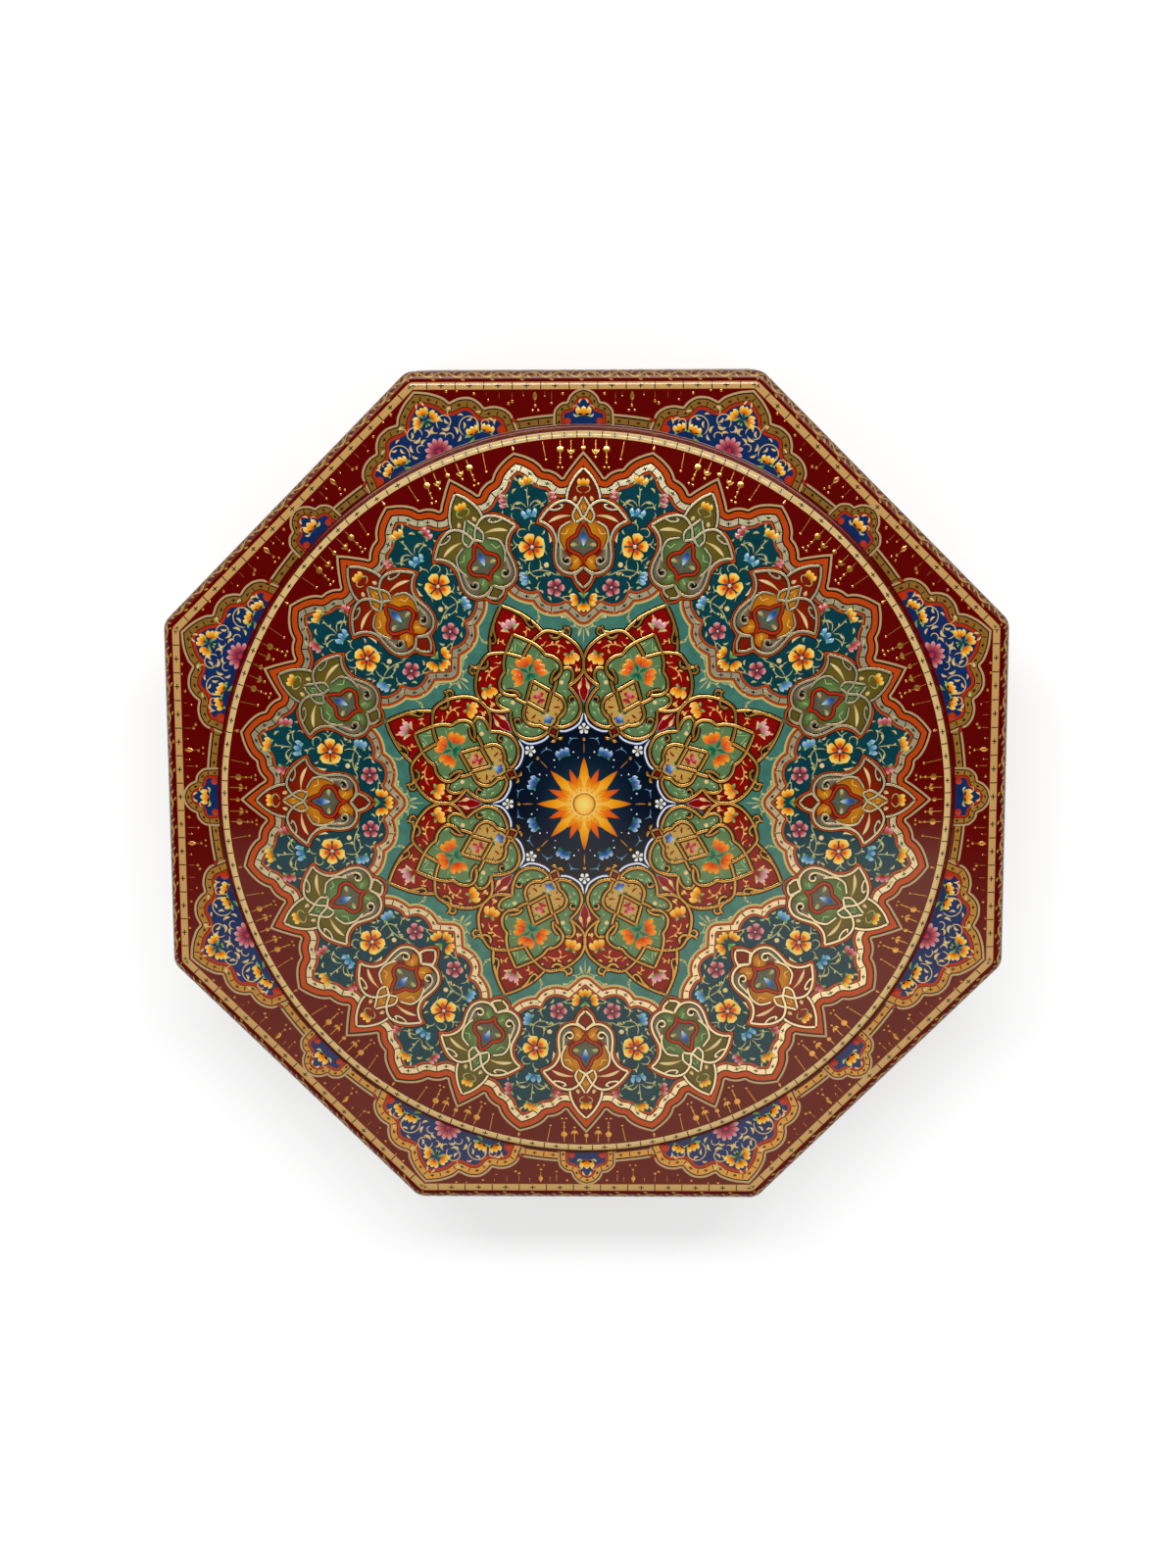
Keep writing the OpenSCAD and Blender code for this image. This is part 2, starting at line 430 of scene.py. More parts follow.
def medallion_rings():
    """Rings of the medallion from the dome's crest out, down the cove and back below."""
    dome = np.concatenate([np.linspace(2, TOUCH_R - 1.5, DOME_RINGS), [TOUCH_R]])
    section = [np.stack([dome, medallion_height(dome)[0]], 1)]
    lean = np.degrees(np.arcsin(TOUCH_R / DOME_R))
    turn = np.radians(np.linspace(90 - lean, 0, 11)[1:])
    section.append(np.stack([
        RIM_X + RIM_ROUND * np.cos(turn),
        TOP_Z + RIM_Y + RIM_ROUND * np.sin(turn)], 1))
    section.append(quarter(FOOT_R, TOP_Z + COVE_R, COVE_R, 180, 7))
    section.append([[MIDWAY, TOP_Z - 0.5], [2, TOP_Z - 0.5]])    # sunk in the lid
    r, z = np.vstack(section).T
    turn = np.linspace(0, 2 * np.pi, RING_POINTS, endpoint=False)
    ring = np.stack([np.cos(turn), np.sin(turn)], 1)
    return raised(r[:, None, None] * ring[None], z)


medallion = make_mesh("medallion_moulded", *cup_surface(medallion_rings()), lacquer_red)
stand_in(medallion, "lid_medallion", "lid")
print("dome radius", DOME_R, "meets the rim at", TOUCH_R)

# %% [markdown]
# ## Drawing in paint
# Every painted shape is a flat part first: points in a motif's own frame, where the
# second number runs outwards from the lid's middle. A part knows how far each point
# rises over its carrier, and its colour: a swatch, and the tone along that swatch. Its
# outermost points are sunk under the layer below, so that the paint is stuck down all
# round. A layer is three hundredths of a millimetre, as brush marks are.

# %% Swatches
LAYER = 0.03                       # mm from one layer of paint to the next
SUNK = -1.6                        # layers by which a part's outermost points lie lower
BEAD = {"gold": 0.8, "silver": 0.5}    # layers that a bead one millimetre wide stands up
SHOULDER = 0.84                    # share of a metal line's half width, in which it curves
EDGE = 0.03                        # mm across the steep edge of a flat film
SHARPEST = 0.45                    # cosine that limits a stroke's width at a sharp bend
Part = namedtuple("Part", "xy rise tone cross faces swatch")
METALS = ("gold", "silver")
SWATCHES = {
    "black": ("#0B0908", "#0E0B0A", "#14100E"),
    "cream": ("#B8985A", "#D6B678", "#EAD49C"),
    "straw": ("#A07A40", "#C29A5C", "#D8B678"),
    "gilt": ("#6A4A14", "#A07630", "#C8A050"),
    "bone": ("#8C8650", "#BAB070", "#D8CE96"),
    "tan": ("#A08258", "#B8966A", "#C8AA80"),
    "vermilion": ("#A03408", "#B8420E", "#C8521A"),
    "brick": ("#982008", "#AE2C0C", "#BC3814"),
    "crimson": ("#6C0302", "#860604", "#960A06"),
    "umber_red": ("#5E1204", "#821C04", "#923008"),
    "ochre": ("#9C5808", "#BC7412", "#D08E2C"),
    "leaf": ("#3F6A34", "#6E9650", "#9CB86C"),
    "sage": ("#48683F", "#5E7C50", "#7A9868"),
    "palm": ("#42562A", "#5C7440", "#7C8E56"),
    "olive": ("#4C420E", "#665820", "#7A6C2E"),
    "sand": ("#A8843C", "#C0984C", "#D0AC62"),
    "sunny": ("#C0240A", "#F0A014", "#FAE27C"),
    "rose": ("#740C16", "#B64650", "#E8B0A8"),
    "pink": ("#A84C60", "#D08A90", "#ECC4BC"),
    "blue": ("#122C62", "#2F5EA6", "#BCD8E0"),
    "azure": ("#1C4C92", "#5A94BC", "#B4D0C8"),
    "mint": ("#3E8C78", "#62B094", "#8CCCAC"),
    "emerald": ("#0C4A34", "#12694A", "#2C8A60"),
    "amber": ("#D89038", "#EBB25A", "#F4CC84"),
    "lime": ("#7C9A5C", "#9CB676", "#BCCC92"),
    "white": ("#A8B4B8", "#E4E4DC", "#FBF8EE"),
    "flame": ("#C42C0C", "#E86A14", "#F8A62C"),
    "carmine": ("#8E1020", "#B0182C", "#CC3044"),
    "navy": ("#0A1A44", "#10265C", "#1A3674"),
    "night": ("#03060C", "#07162A", "#204458"),
    "slate": ("#3A3A30", "#655C48", "#7E735C"),
}
SWATCH_NAMES = list(SWATCHES)


def swatch_colour(number, tone):
    """Linear colour at a tone from 0 to 1 between a swatch's three stops."""
    stops = np.array([[linear(c) for c in SWATCHES[n]] for n in SWATCH_NAMES])[number]
    share = np.clip(tone, 0, 1)[:, None] * 2
    low = stops[:, 0] + (stops[:, 1] - stops[:, 0]) * np.minimum(share, 1)
    return low + (stops[:, 2] - stops[:, 1]) * np.maximum(share - 1, 0)


# %% Curves
CURVE_STEP = 0.6                   # mm between the points of a curve


def even_steps(path, step):
    """The same path with its points at equal lengths."""
    length = np.r_[0, np.cumsum(np.linalg.norm(np.diff(path, axis=0), axis=1))]
    stops = np.linspace(0, length[-1], max(3, int(round(length[-1] / step)) + 1))
    return np.stack([np.interp(stops, length, path[:, i]) for i in (0, 1)], 1)


def smooth(points):
    """A curve through the points, in equal steps.

    Between two points it is a cubic whose slope at each is that of the chord between
    the neighbours; the curve is then cut by its length.
    """
    p = np.array(points, float)
    p = np.vstack([2 * p[0] - p[1], p, 2 * p[-1] - p[-2]])
    a, b, c, d = p[:-3, None], p[1:-2, None], p[2:-1, None], p[3:, None]
    t = np.linspace(0, 1, 10, endpoint=False)[None, :, None]
    dense = 0.5 * (2 * b + (c - a) * t + (2 * a - 5 * b + 4 * c - d) * t ** 2
                   + (3 * b - a - 3 * c + d) * t ** 3)
    return even_steps(np.vstack([dense.reshape(-1, 2), p[-2]]), CURVE_STEP)


def chain(*pieces):
    """Smooth curves joined end to end, so that each joint stays a cusp."""
    curves = [smooth(piece) for piece in pieces]
    return np.vstack([curves[0]] + [c[1:] for c in curves[1:]])


def vine(start, heading, *turns, step=0.5):
    """A path of arcs laid end to end; each is a length and the angle it turns by."""
    lengths, bends = np.array(turns, float).T
    count = np.maximum(2, np.round(lengths / step).astype(int))
    ds = np.repeat(lengths / count, count)
    bend = np.repeat(bends / count, count)
    angle = np.radians(heading + np.cumsum(bend) - bend / 2)
    moves = np.stack([np.cos(angle), np.sin(angle)], 1) * ds[:, None]
    return np.vstack([start, start + np.cumsum(moves, 0)])


# %% Strokes


def facing_up(xy, faces):
    """The faces with their points in an order that makes them face up."""
    p = xy[faces]
    q = np.roll(p, -1, 1)
    area = (p[..., 0] * q[..., 1] - q[..., 0] * p[..., 1]).sum()
    return faces if area > 0 else faces[:, ::-1]


def line(path, width, swatch, level, ends=0.5, closed=False, tones=(0.5, 0.5)):
    """A stroke along a path, with its full width given once or for every point.

    Body colour lies flat, and metal stands up as a bead; the outermost points are sunk.
    At a bend the points lie on the line that halves the corner. The ends narrow like a
    round brush's mark, by the root of the distance from the end.
    """
    path = np.asarray(path, float)
    count = len(path)
    if closed:
        before, after = path - np.roll(path, 1, 0), np.roll(path, -1, 0) - path
    else:
        step = np.diff(path, axis=0)
        before, after = np.vstack([step[:1], step]), np.vstack([step, step[-1:]])
    before = before / np.linalg.norm(before, axis=1)[:, None]
    after = after / np.linalg.norm(after, axis=1)[:, None]
    mean = before + after
    mean = mean / np.maximum(np.linalg.norm(mean, axis=1), 1e-6)[:, None]
    mitre = 1 / np.maximum((mean * after).sum(1), SHARPEST)
    half = np.broadcast_to(np.asarray(width, float) / 2, count) * mitre
    gone = np.r_[0, np.cumsum(np.linalg.norm(np.diff(path, axis=0), axis=1))]
    if ends and not closed:
        near = np.minimum(gone, gone[-1] - gone) / ends
        half = half * np.sqrt(np.clip(near, 0.0, 1))
    if swatch in METALS:
        share = np.broadcast_to([-1, -SHOULDER, 0, SHOULDER, 1], (count, 5))
        lift = np.array([SUNK, 0, BEAD[swatch] * min(1, np.max(width)), 0, SUNK])
    else:
        inner = np.maximum(1 - EDGE / np.maximum(half, 0.01), 0.3)[:, None]
        share = np.hstack([-np.ones_like(inner), -inner, inner, np.ones_like(inner)])
        lift = np.array([SUNK, 0, 0, SUNK])
    normal = np.stack([-mean[:, 1], mean[:, 0]], 1)
    xy = path[:, None] + normal[:, None] * (half[:, None] * share)[..., None]
    rise = np.broadcast_to((level + lift) * LAYER, share.shape)
    progress = gone / gone[-1]
    tone = tones[0] + (tones[1] - tones[0]) * progress
    tone = np.repeat(tone[:, None], share.shape[1], 1)
    cross = (share + 1) / 2
    xy = xy.reshape(-1, 2)
    faces = facing_up(xy, grid_faces(count, share.shape[1], tube=closed))
    return Part(xy, rise.ravel(), tone.ravel(), cross.ravel(), [faces], swatch)


# %% Filled shapes and bands


def fill(outline, swatch, level, centre=None, tones=(0.5, 0.5), widest=7.0):
    """A closed shape: its outline sunk, then drawn in ring by ring towards a centre.

    Tones run from the edge to the centre.
    """
    outline = np.asarray(outline, float)
    centre = outline.mean(0) if centre is None else np.asarray(centre, float)
    spoke = outline - centre
    reach = np.linalg.norm(spoke, axis=1)[:, None]
    inner = np.maximum(1 - EDGE / np.maximum(reach, 0.1), 0.6)
    count = max(1, int(np.ceil(reach.max() / widest)))
    shares = [np.ones_like(reach), inner] + [
        inner * (1 - i / (count + 1))
        for i in range(1, count + 1)]
    xy = np.vstack([centre + spoke * s for s in shares] + [centre[None]])
    around, rows = len(outline), len(shares)
    lift = np.r_[np.full(around, SUNK), np.zeros(around * (rows - 1) + 1)]
    depth = np.r_[np.repeat(np.r_[0, np.arange(rows - 1) / (rows - 1)], around), 1]
    cross = np.r_[np.tile(np.arange(around) / around, rows), 0.5]
    last = np.arange(around) + (rows - 1) * around
    grid, fan = grid_faces(rows, around, ring=True), fan_faces(rows * around, last)
    grid = facing_up(xy, grid)
    fan = facing_up(xy, fan)
    tone = tones[0] + (tones[1] - tones[0]) * depth
    return Part(xy, (level + lift) * LAYER, tone, cross, [grid, fan], swatch)


def whole_of(half, swatch, level, centre, tones=(0.3, 0.7)):
    """A fill from half an outline that starts and ends on the motif's axis."""
    half = np.asarray(half, float)
    return fill(np.vstack([half[:-1], half[::-1][:-1] * (-1, 1)]), swatch, level, centre, tones)


def band(outer, inner, swatch, level, closed=False, widest=5.0):
    """The strip between two curves that have the same number of points."""
    outer, inner = np.asarray(outer, float), np.asarray(inner, float)
    gap = np.linalg.norm(outer - inner, axis=1).max()
    count = max(1, int(np.ceil(gap / widest)))
    edge = EDGE / max(gap, 0.2)
    shares = np.r_[0, np.linspace(edge, 1 - edge, count + 1), 1]
    xy = (outer[None] * (1 - shares[:, None, None]) + inner[None] * shares[:, None, None])
    lift = np.r_[SUNK, np.zeros(count + 1), SUNK]
    around = len(outer)
    xy = xy.reshape(-1, 2)
    cross = np.tile(np.linspace(0, 1, around), len(shares))
    faces = facing_up(xy, grid_faces(len(shares), around, ring=closed))
    return Part(xy, np.repeat((level + lift) * LAYER, around), np.full(len(xy), 0.5), cross,
                [faces], swatch)


# %% Parts joined by their paint


def join(parts):
    """One part per paint: all gouache together, and each metal by itself.

    A point's swatch becomes a number, so that the joined part can be coloured.
    """
    joined = {}
    for paint in ("paint",) + METALS:
        chosen = [p for p in parts if (p.swatch if p.swatch in METALS else "paint") == paint]
        if not chosen:
            continue
        starts = np.cumsum([0] + [len(p.xy) for p in chosen])
        names = SWATCH_NAMES if paint == "paint" else METALS
        number = np.concatenate([np.full(len(p.xy), names.index(p.swatch)) for p in chosen])
        faces = [f + s for p, s in zip(chosen, starts) for f in p.faces]
        joined[paint] = Part(*[np.concatenate([getattr(p, key) for p in chosen])
                               for key in ("xy", "rise", "tone", "cross")], faces, number)
    return joined


# %% Laying parts on their carriers


def on_medallion(xy, rise):
    """Plan position to a point over the medallion, lifted along its normal."""
    r = np.linalg.norm(xy, axis=1)
    height, steep = medallion_height(r)
    away = xy / np.maximum(r, 1e-6)[:, None]
    normal = np.concatenate([away * steep[:, None], np.ones((len(xy), 1))], 1)
    normal /= np.linalg.norm(normal, axis=1)[:, None]
    return np.concatenate([xy, height[:, None]], 1) + normal * rise[:, None]


def on_lid_top(xy, rise):
    """Plan position to a point over the lid's flat top."""
    return np.concatenate([xy, (TOP_Z + rise)[:, None]], 1)


def turned(xy, degrees, mirror):
    """Motif coordinates to plan: the second number runs out along the given direction."""
    u, v = xy[:, 0] * (-1 if mirror else 1), xy[:, 1]
    a = np.radians(degrees)
    return np.stack([v * np.cos(a) + u * np.sin(a), v * np.sin(a) - u * np.cos(a)], 1)


EDGE_START = HALF - EDGE_R                          # where the lid's edge round begins
WALL_START = EDGE_START + EDGE_R * np.pi / 2        # unrolled, where the wall begins


def on_edge(xy, rise):
    """Length along the outline and distance unrolled from the axis, over the lid's edge."""
    turn = np.clip((xy[:, 1] - EDGE_START) / EDGE_R, 0, np.pi / 2)
    inset = np.where(turn > 0, EDGE_R * (1 - np.sin(turn)), HALF - xy[:, 1])
    down = np.maximum(xy[:, 1] - WALL_START, 0)
    height = TOP_Z - EDGE_R * (1 - np.cos(turn)) - down
    plan, out = outline_point(xy[:, 0], inset)
    return np.concatenate([plan + out * (np.sin(turn) * rise)[:, None],
                           (height + np.cos(turn) * rise)[:, None]], 1)


def on_wall(xy, rise):
    """Length along the outline and height, on the upright walls."""
    plan, out = outline_point(xy[:, 0], 0.0)
    return np.concatenate([plan + out * rise[:, None], xy[:, 1:]], 1)


def slid_edge(xy, degrees, mirror):
    """A side's own coordinates, seen from above, to lengths along the outline."""
    u = xy[:, 0] * (-1 if mirror else 1)
    return np.stack([degrees / 360 * SIDES * PITCH - u, xy[:, 1]], 1)


def slid_wall(xy, degrees, mirror):
    """A side's own coordinates, seen from outside, to lengths along the outline."""
    u = xy[:, 0] * (-1 if mirror else 1)
    return np.stack([degrees / 360 * SIDES * PITCH + u, xy[:, 1]], 1)


PAINT_OF = {"paint": gouache, "gold": shell_gold, "silver": shell_silver}
BAKE_MARGIN = 0.12                 # share of a swatch's strip left free on each side
PAINT_ANGLE = 32                   # degrees between two faces of paint that stay smooth


def colour_strokes(mesh, part, copies):
    """Stores each point's colour, and a map on which every swatch is a strip.

    Along the strip the tone rises, and across it the stroke's own width is laid out,
    so that the map has room for every colour and no face on it is without width.
    """
    colour = swatch_colour(part.swatch, part.tone)
    colour = np.tile(np.c_[colour, np.ones(len(colour))], (copies, 1))
    mesh.color_attributes.new("paint", "FLOAT_COLOR", "POINT")
    mesh.color_attributes["paint"].data.foreach_set("color", colour.ravel())
    corner = np.empty(len(mesh.loops), int)
    mesh.loops.foreach_get("vertex_index", corner)
    strip = (part.swatch + BAKE_MARGIN + (1 - 2 * BAKE_MARGIN) * part.cross) / len(SWATCHES)
    tone = BAKE_MARGIN / 4 + (1 - BAKE_MARGIN / 2) * part.tone
    uv = np.tile(np.stack([strip, tone], 1), (copies, 1))
    mesh.uv_layers.new(name="OFBake")
    mesh.uv_layers["OFBake"].uv.foreach_set("vector", uv[corner].astype(np.float32).ravel())


# What a painted part lies on: its carrier, the body it rides on, and its motif's frame.
MEDALLION = (on_medallion, "lid", turned)
LID_TOP = (on_lid_top, "lid", turned)
LID_EDGE = (on_edge, "lid", slid_edge)
LID_WALL, TRAY_WALL = (on_wall, "lid", slid_wall), (on_wall, "base", slid_wall)


def lay(name, parts, places, surface, ground=None):
    """Objects from parts repeated at places, which are directions and mirrorings."""
    carrier, body, frame = surface
    for paint, part in join(parts).items():
        xy = [frame(part.xy, angle, mirror) for angle, mirror in places]
        points = np.vstack([carrier(p, part.rise) for p in xy])
        faces = [(f[:, ::-1] if mirror else f) + i * len(part.xy)
                 for i, (angle, mirror) in enumerate(places) for f in part.faces]
        material = ground or PAINT_OF[paint]
        piece = make_mesh(f"{name}_{paint}", points, faces, material, PAINT_ANGLE)
        if paint == "paint" and ground is None:
            colour_strokes(piece.data, part, len(places))
        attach(piece, body)
        print(piece.name, sum(len(f) for f in faces), "faces")


def around(count, first=0.0):
    """Directions in equal steps round the circle, none of them mirrored."""
    return [(first + i * 360 / count, False) for i in range(count)]


# %% Small shapes


def pair(*parts):
    """The parts and their mirror images across the motif's axis."""
    other = [p._replace(xy=p.xy * (-1, 1), faces=[f[:, ::-1] for f in p.faces]) for p in parts]
    return [*parts, *other]


def placed(parts, at, heading, size=1.0):
    """Parts turned so that their upward axis points along a heading, scaled and moved."""
    a = np.radians(heading)
    turn = np.array([[np.sin(a), -np.cos(a)], [np.cos(a), np.sin(a)]])
    return [p._replace(xy=p.xy * size @ turn + at) for p in parts]


def edged(path, width, swatch, level, edge=0.32, **more):
    """A line with a black line that shows along both of its sides."""
    return [line(path, width + 2 * edge, "black", level, **more),
            line(path, width, swatch, level + 1, **more)]


def petal(base, tip, width, swatch, level, bend=0.0, fat=0.55, tones=(0, 1), blunt=0.75):
    """A dab of the brush from base to tip.

    Its path is a parabola bent sideways by a share of its length, and its width is a
    half wave, blunted by a power, whose crest lies at the share called fat.
    """
    base, tip = np.array(base, float), np.array(tip, float)
    along = tip - base
    share = np.linspace(0, 1, 7)
    side = np.array([-along[1], along[0]])
    path = base + share[:, None] * along + (bend * 4 * share * (1 - share))[:, None] * side
    crest = np.log(0.5) / np.log(fat)
    wave = np.abs(np.sin(np.pi * share ** crest)) ** blunt
    return line(path, np.maximum(width * wave, 0.05), swatch, level, ends=0, tones=tones)


def circle(radius, sides):
    """Points of a circle round the middle."""
    turn = np.linspace(0, 2 * np.pi, sides, endpoint=False)
    return np.stack([np.cos(turn), np.sin(turn)], 1) * radius


def dot(at, radius, swatch, level, tone=0.7, sides=9):
    """A round drop: a sunk rim, a ring at two thirds of its radius, and a crest, with painted
    shade at the rim and a painted highlight on the crest.
    """
    ring = circle(radius, sides)
    xy = np.vstack([ring, ring * 0.66, np.zeros((1, 2))]) + at
    rise = (level + np.r_[np.full(sides, SUNK), np.zeros(sides), 0.8]) * LAYER
    faces = [facing_up(xy, grid_faces(2, sides, ring=True)),
             facing_up(xy, fan_faces(2 * sides, np.arange(sides) + sides))]
    cross = np.r_[np.tile(np.arange(sides) / sides, 2), 0.5]
    # painted shade and highlight: the rim darker and the crest lighter than the drop's own tone
    tones = np.r_[np.full(sides, tone - 0.25), np.full(sides, tone), tone + 0.2]
    return Part(xy, rise, tones, cross, faces, swatch)


def unit(degrees):
    """A step of length one in a direction."""
    a = np.radians(degrees)
    return np.array([np.cos(a), np.sin(a)])


def sprig(start, heading, turns, leaves=(), swatch="cream", level=3, width=0.34, knob=0.0):
    """A tendril of arcs, with small leaves that curl off it and a knob at its end.

    A leaf is given by its share of the length, its side and its size.
    """
    path = vine(start, heading, *turns, step=0.6)
    parts = [line(path, width, swatch, level, ends=1.5)]
    step = np.diff(path, axis=0)
    for share, side, size in leaves:
        i = min(int(share * len(step)), len(step) - 1)
        away = np.degrees(np.arctan2(step[i, 1], step[i, 0])) + side * 42
        parts.append(petal(path[i], path[i] + size * unit(away), size * 0.4, swatch, level,
                           bend=-side * 0.2, tones=(0.4, 0.9)))
    if knob:
        parts.append(dot(path[-1], knob, swatch, level))
    return parts


def curl(centre, radius, first, sweep, width=0.34, inner=0.5):
    """A cream line that winds round a centre from an angle, its radius shrinking to a share."""
    share = np.linspace(0, 1, max(8, int(abs(sweep) * radius / 60)))
    reach = radius * (1 + (inner - 1) * share ** 1.6)
    turn = np.radians(first + sweep * share)
    path = np.stack([np.cos(turn), np.sin(turn)], 1) * reach[:, None] + centre
    return line(path, width, "cream", 2.6, ends=1.0)


def commas(places, swatch="cream", level=2.7):
    """Small curved leaves, each from x, y to u, v, with its bend where it isn't 0.2."""
    parts = []
    for x, y, u, v, *bend in places:
        parts.append(petal((x, y), (u, v), 0.36 * np.hypot(u - x, v - y), swatch, level,
                           bend=bend[0] if bend else 0.2, tones=(0.2, 0.8)))
    return parts


def blossom(at, radius, petals, swatch, level, turn=90.0, plump=1.0, eye="cream"):
    """A flower seen from above: equal petals, broad near their tips, and an eye."""
    parts = []
    for i in range(petals):
        way = unit(turn + i * 360 / petals)
        if swatch == "sunny":
            parts.append(petal(at + 0.12 * radius * way, at + 0.66 * radius * way,
                               1.5 * radius / petals, "flame", level + 0.5, tones=(0, 0.35)))
        parts.append(petal(at + 0.14 * radius * way, at + radius * way,
                           plump * 3.9 * radius / petals, swatch, level, fat=0.7, blunt=0.5))
    return parts + [dot(np.array(at, float), radius * 0.13, eye, level + 1)]


def tulip(swatch, level, spread, leaf):
    """A cupped flower one unit high, with two leaves below it, that points upwards."""
    sides = petal((0.05, 0), (spread, 0.95), 0.56, swatch, level, bend=-0.22, fat=0.62, blunt=0.5)
    middle = petal((0, 0), (0, 1.0), 0.6, swatch, level + 0.6, fat=0.62, blunt=0.5, tones=(0, 0.9))
    below = petal((0.02, -0.04), (0.72, -0.12), 0.34, leaf, level, bend=0.3, fat=0.6)
    return pair(sides) + [middle] + (pair(below) if leaf else [])


def flower(at, heading, size, swatch, level, spread=0.55, leaf="leaf"):
    """A tulip of a size, at a place, that points along a heading."""
    return placed(tulip(swatch, level, spread, leaf), at, heading, size)


# %% [markdown]
# ## The medallion's bands
# A scalloped band with cusps runs round the painted field, and a second one round the
# star in its middle. Each is a curve in polar form, drawn once over a small sector and
# repeated. A band inside it must keep its distance, so its edge is where a disc rolled
# along the curve reaches furthest in.

# %% Scalloped curves
PALM_STEP, TEAL_STEP = 22.5, 11.25       # degrees between motifs
AT_SIDES, AT_CORNERS = around(SIDES), around(SIDES, PALM_STEP)
WHOLE = [(0.0, False)]
SAMPLES = 1536                           # round the whole circle
TICK_LINE = 0.36                         # mm, a tick's own width


def polar(points, degrees=0.0):
    """Angle and radius of motif points whose axis points along an angle, clockwise."""
    u, v = np.array(points, float).T
    return np.stack([degrees + np.degrees(np.arctan2(u, v)), np.hypot(u, v)], 1)


def scallops(half_sector, width):
    """Radii round the circle of a curve given over half a sector, mirrored on and on."""
    angle = np.arange(SAMPLES) * 360 / SAMPLES
    folded = np.abs((angle + width / 2) % width - width / 2)
    return np.interp(folded, half_sector[:, 0], half_sector[:, 1])


def drawn_in(radii, gap):
    """The curve at a distance inside another: the least reach of a rolling disc."""
    if gap <= 0:
        return radii - gap
    turn = np.arange(len(radii)) * 2 * np.pi / len(radii)
    apart = turn[None] - turn[:, None]
    reach = gap ** 2 - (radii[None] * np.sin(apart)) ** 2
    near = (reach > 0) & (np.cos(apart) > 0)
    inner = radii[None] * np.cos(apart) - np.sqrt(np.where(near, reach, 0))
    return np.where(near, inner, np.inf).min(1)


def ring_path(radii):
    """Plan points, in a motif frame whose axis is the first sample's direction."""
    turn = np.arange(len(radii)) * 2 * np.pi / len(radii)
    return np.stack([np.sin(turn), np.cos(turn)], 1) * np.reshape(radii, (-1, 1))


def marks(path, pitch, width, level, cross=0.8):
    """Black ticks across a band along a path, in turn crossed and plain."""
    step = np.linalg.norm(np.diff(path, axis=0), axis=1)
    length = np.r_[0, np.cumsum(step)]
    count = max(1, int(round(length[-1] / pitch)))
    parts = []
    for i in range(count):
        at = length[-1] * (i + 0.5) / count
        here, ahead = [np.array([np.interp(at + d, length, path[:, k]) for k in (0, 1)])
                       for d in (-0.25, 0.25)]
        way = (ahead - here) / max(np.linalg.norm(ahead - here), 1e-6)
        side = np.array([-way[1], way[0]])
        middle = (here + ahead) / 2
        reach = width * (0.5 if i % 2 else 0.36)
        share = np.linspace(-1, 1, 7)[:, None]
        parts.append(line(middle + side * reach * share, TICK_LINE, "black", level, ends=0))
        if i % 2 == 0:
            parts.append(line(middle + way * cross * share, TICK_LINE, "black", level, ends=0))
    return parts


outer_half = np.vstack([
    polar(chain([(0, 114.4), (2.2, 111.9), (4.0, 109.6), (5.6, 107.5), (6.7, 105.7)])),
    polar(chain([(-14.0, 105.0), (-12.9, 106.6), (-11.5, 107.8), (-10, 108.6), (-8.6, 109.0)],
                [(-8.6, 109.0), (-7.6, 110.9), (-5.8, 112.8), (-3.2, 114.6), (0, 116.2)]),
          TEAL_STEP)[1:]])


def on_polar(points):
    """Cartesian motif points of (degrees, radius) pairs."""
    a, r = np.array(points, float).T
    return np.stack([r * np.sin(np.radians(a)), r * np.cos(np.radians(a))], 1)


inner_half = polar(chain(
    on_polar([(0, 62.0), (2.65, 64.8), (4.78, 67.2)]),
    on_polar([(4.78, 67.2), (6.33, 66.2), (8.87, 66.2), (10.9, 67.8), (11.9, 71.6)]),
    on_polar([(11.9, 71.6), (13.7, 71.3), (16.0, 73), (17.1, 75.1), (17.6, 76.8), (22.5, 79)])))
OUTER_CURVE = scallops(outer_half, PALM_STEP)
INNER_CURVE = scallops(inner_half, 2 * PALM_STEP)
print("outer curve", OUTER_CURVE.min(), OUTER_CURVE.max(),
      "inner curve", INNER_CURVE.min(), INNER_CURVE.max())

# %% Bands and grounds


def hoop(outer, inner, swatch, level, points=512, widest=5.0):
    """A round band between two radii."""
    return band(ring_path(np.full(points, outer)), ring_path(np.full(points, inner)), swatch,
                level, closed=True, widest=widest)


def strip(radii, start, end, swatch, level):
    """A closed band between two distances inside a curve."""
    return band(ring_path(drawn_in(radii, start)), ring_path(drawn_in(radii, end)),
                swatch, level, closed=True)


outer_bands = [
    strip(OUTER_CURVE, 0.5, 6.2, "black", 1),
    strip(OUTER_CURVE, 0, 0.75, "tan", 2),
    strip(OUTER_CURVE, 1.3, 3.05, "vermilion", 2),
    strip(OUTER_CURVE, 3.5, 5.35, "silver", 2),
    strip(OUTER_CURVE, 5.65, 6.35, "vermilion", 2)]
inner_bands = [
    strip(INNER_CURVE, 0.4, 3.6, "black", 1),
    strip(INNER_CURVE, -0.1, 0.6, "vermilion", 2),
    strip(INNER_CURVE, 0.8, 2.55, "silver", 2),
    strip(INNER_CURVE, 2.75, 3.4, "vermilion", 2),
    strip(INNER_CURVE, 3.4, 4.1, "bone", 2)]
lay("medallion_bands", outer_bands + inner_bands, WHOLE, MEDALLION)

ROSETTE_R = 28.0
teal = band(ring_path(drawn_in(OUTER_CURVE, 6.2)), ring_path(INNER_CURVE), "black", 1, closed=True)
lay("teal_ground", [teal], WHOLE, MEDALLION, dark_teal)
pale = band(ring_path(drawn_in(INNER_CURVE, 3.9)), ring_path(np.full(SAMPLES, ROSETTE_R)),
            "black", 1, closed=True)
lay("pale_teal_ground", [pale], WHOLE, MEDALLION, pale_teal)

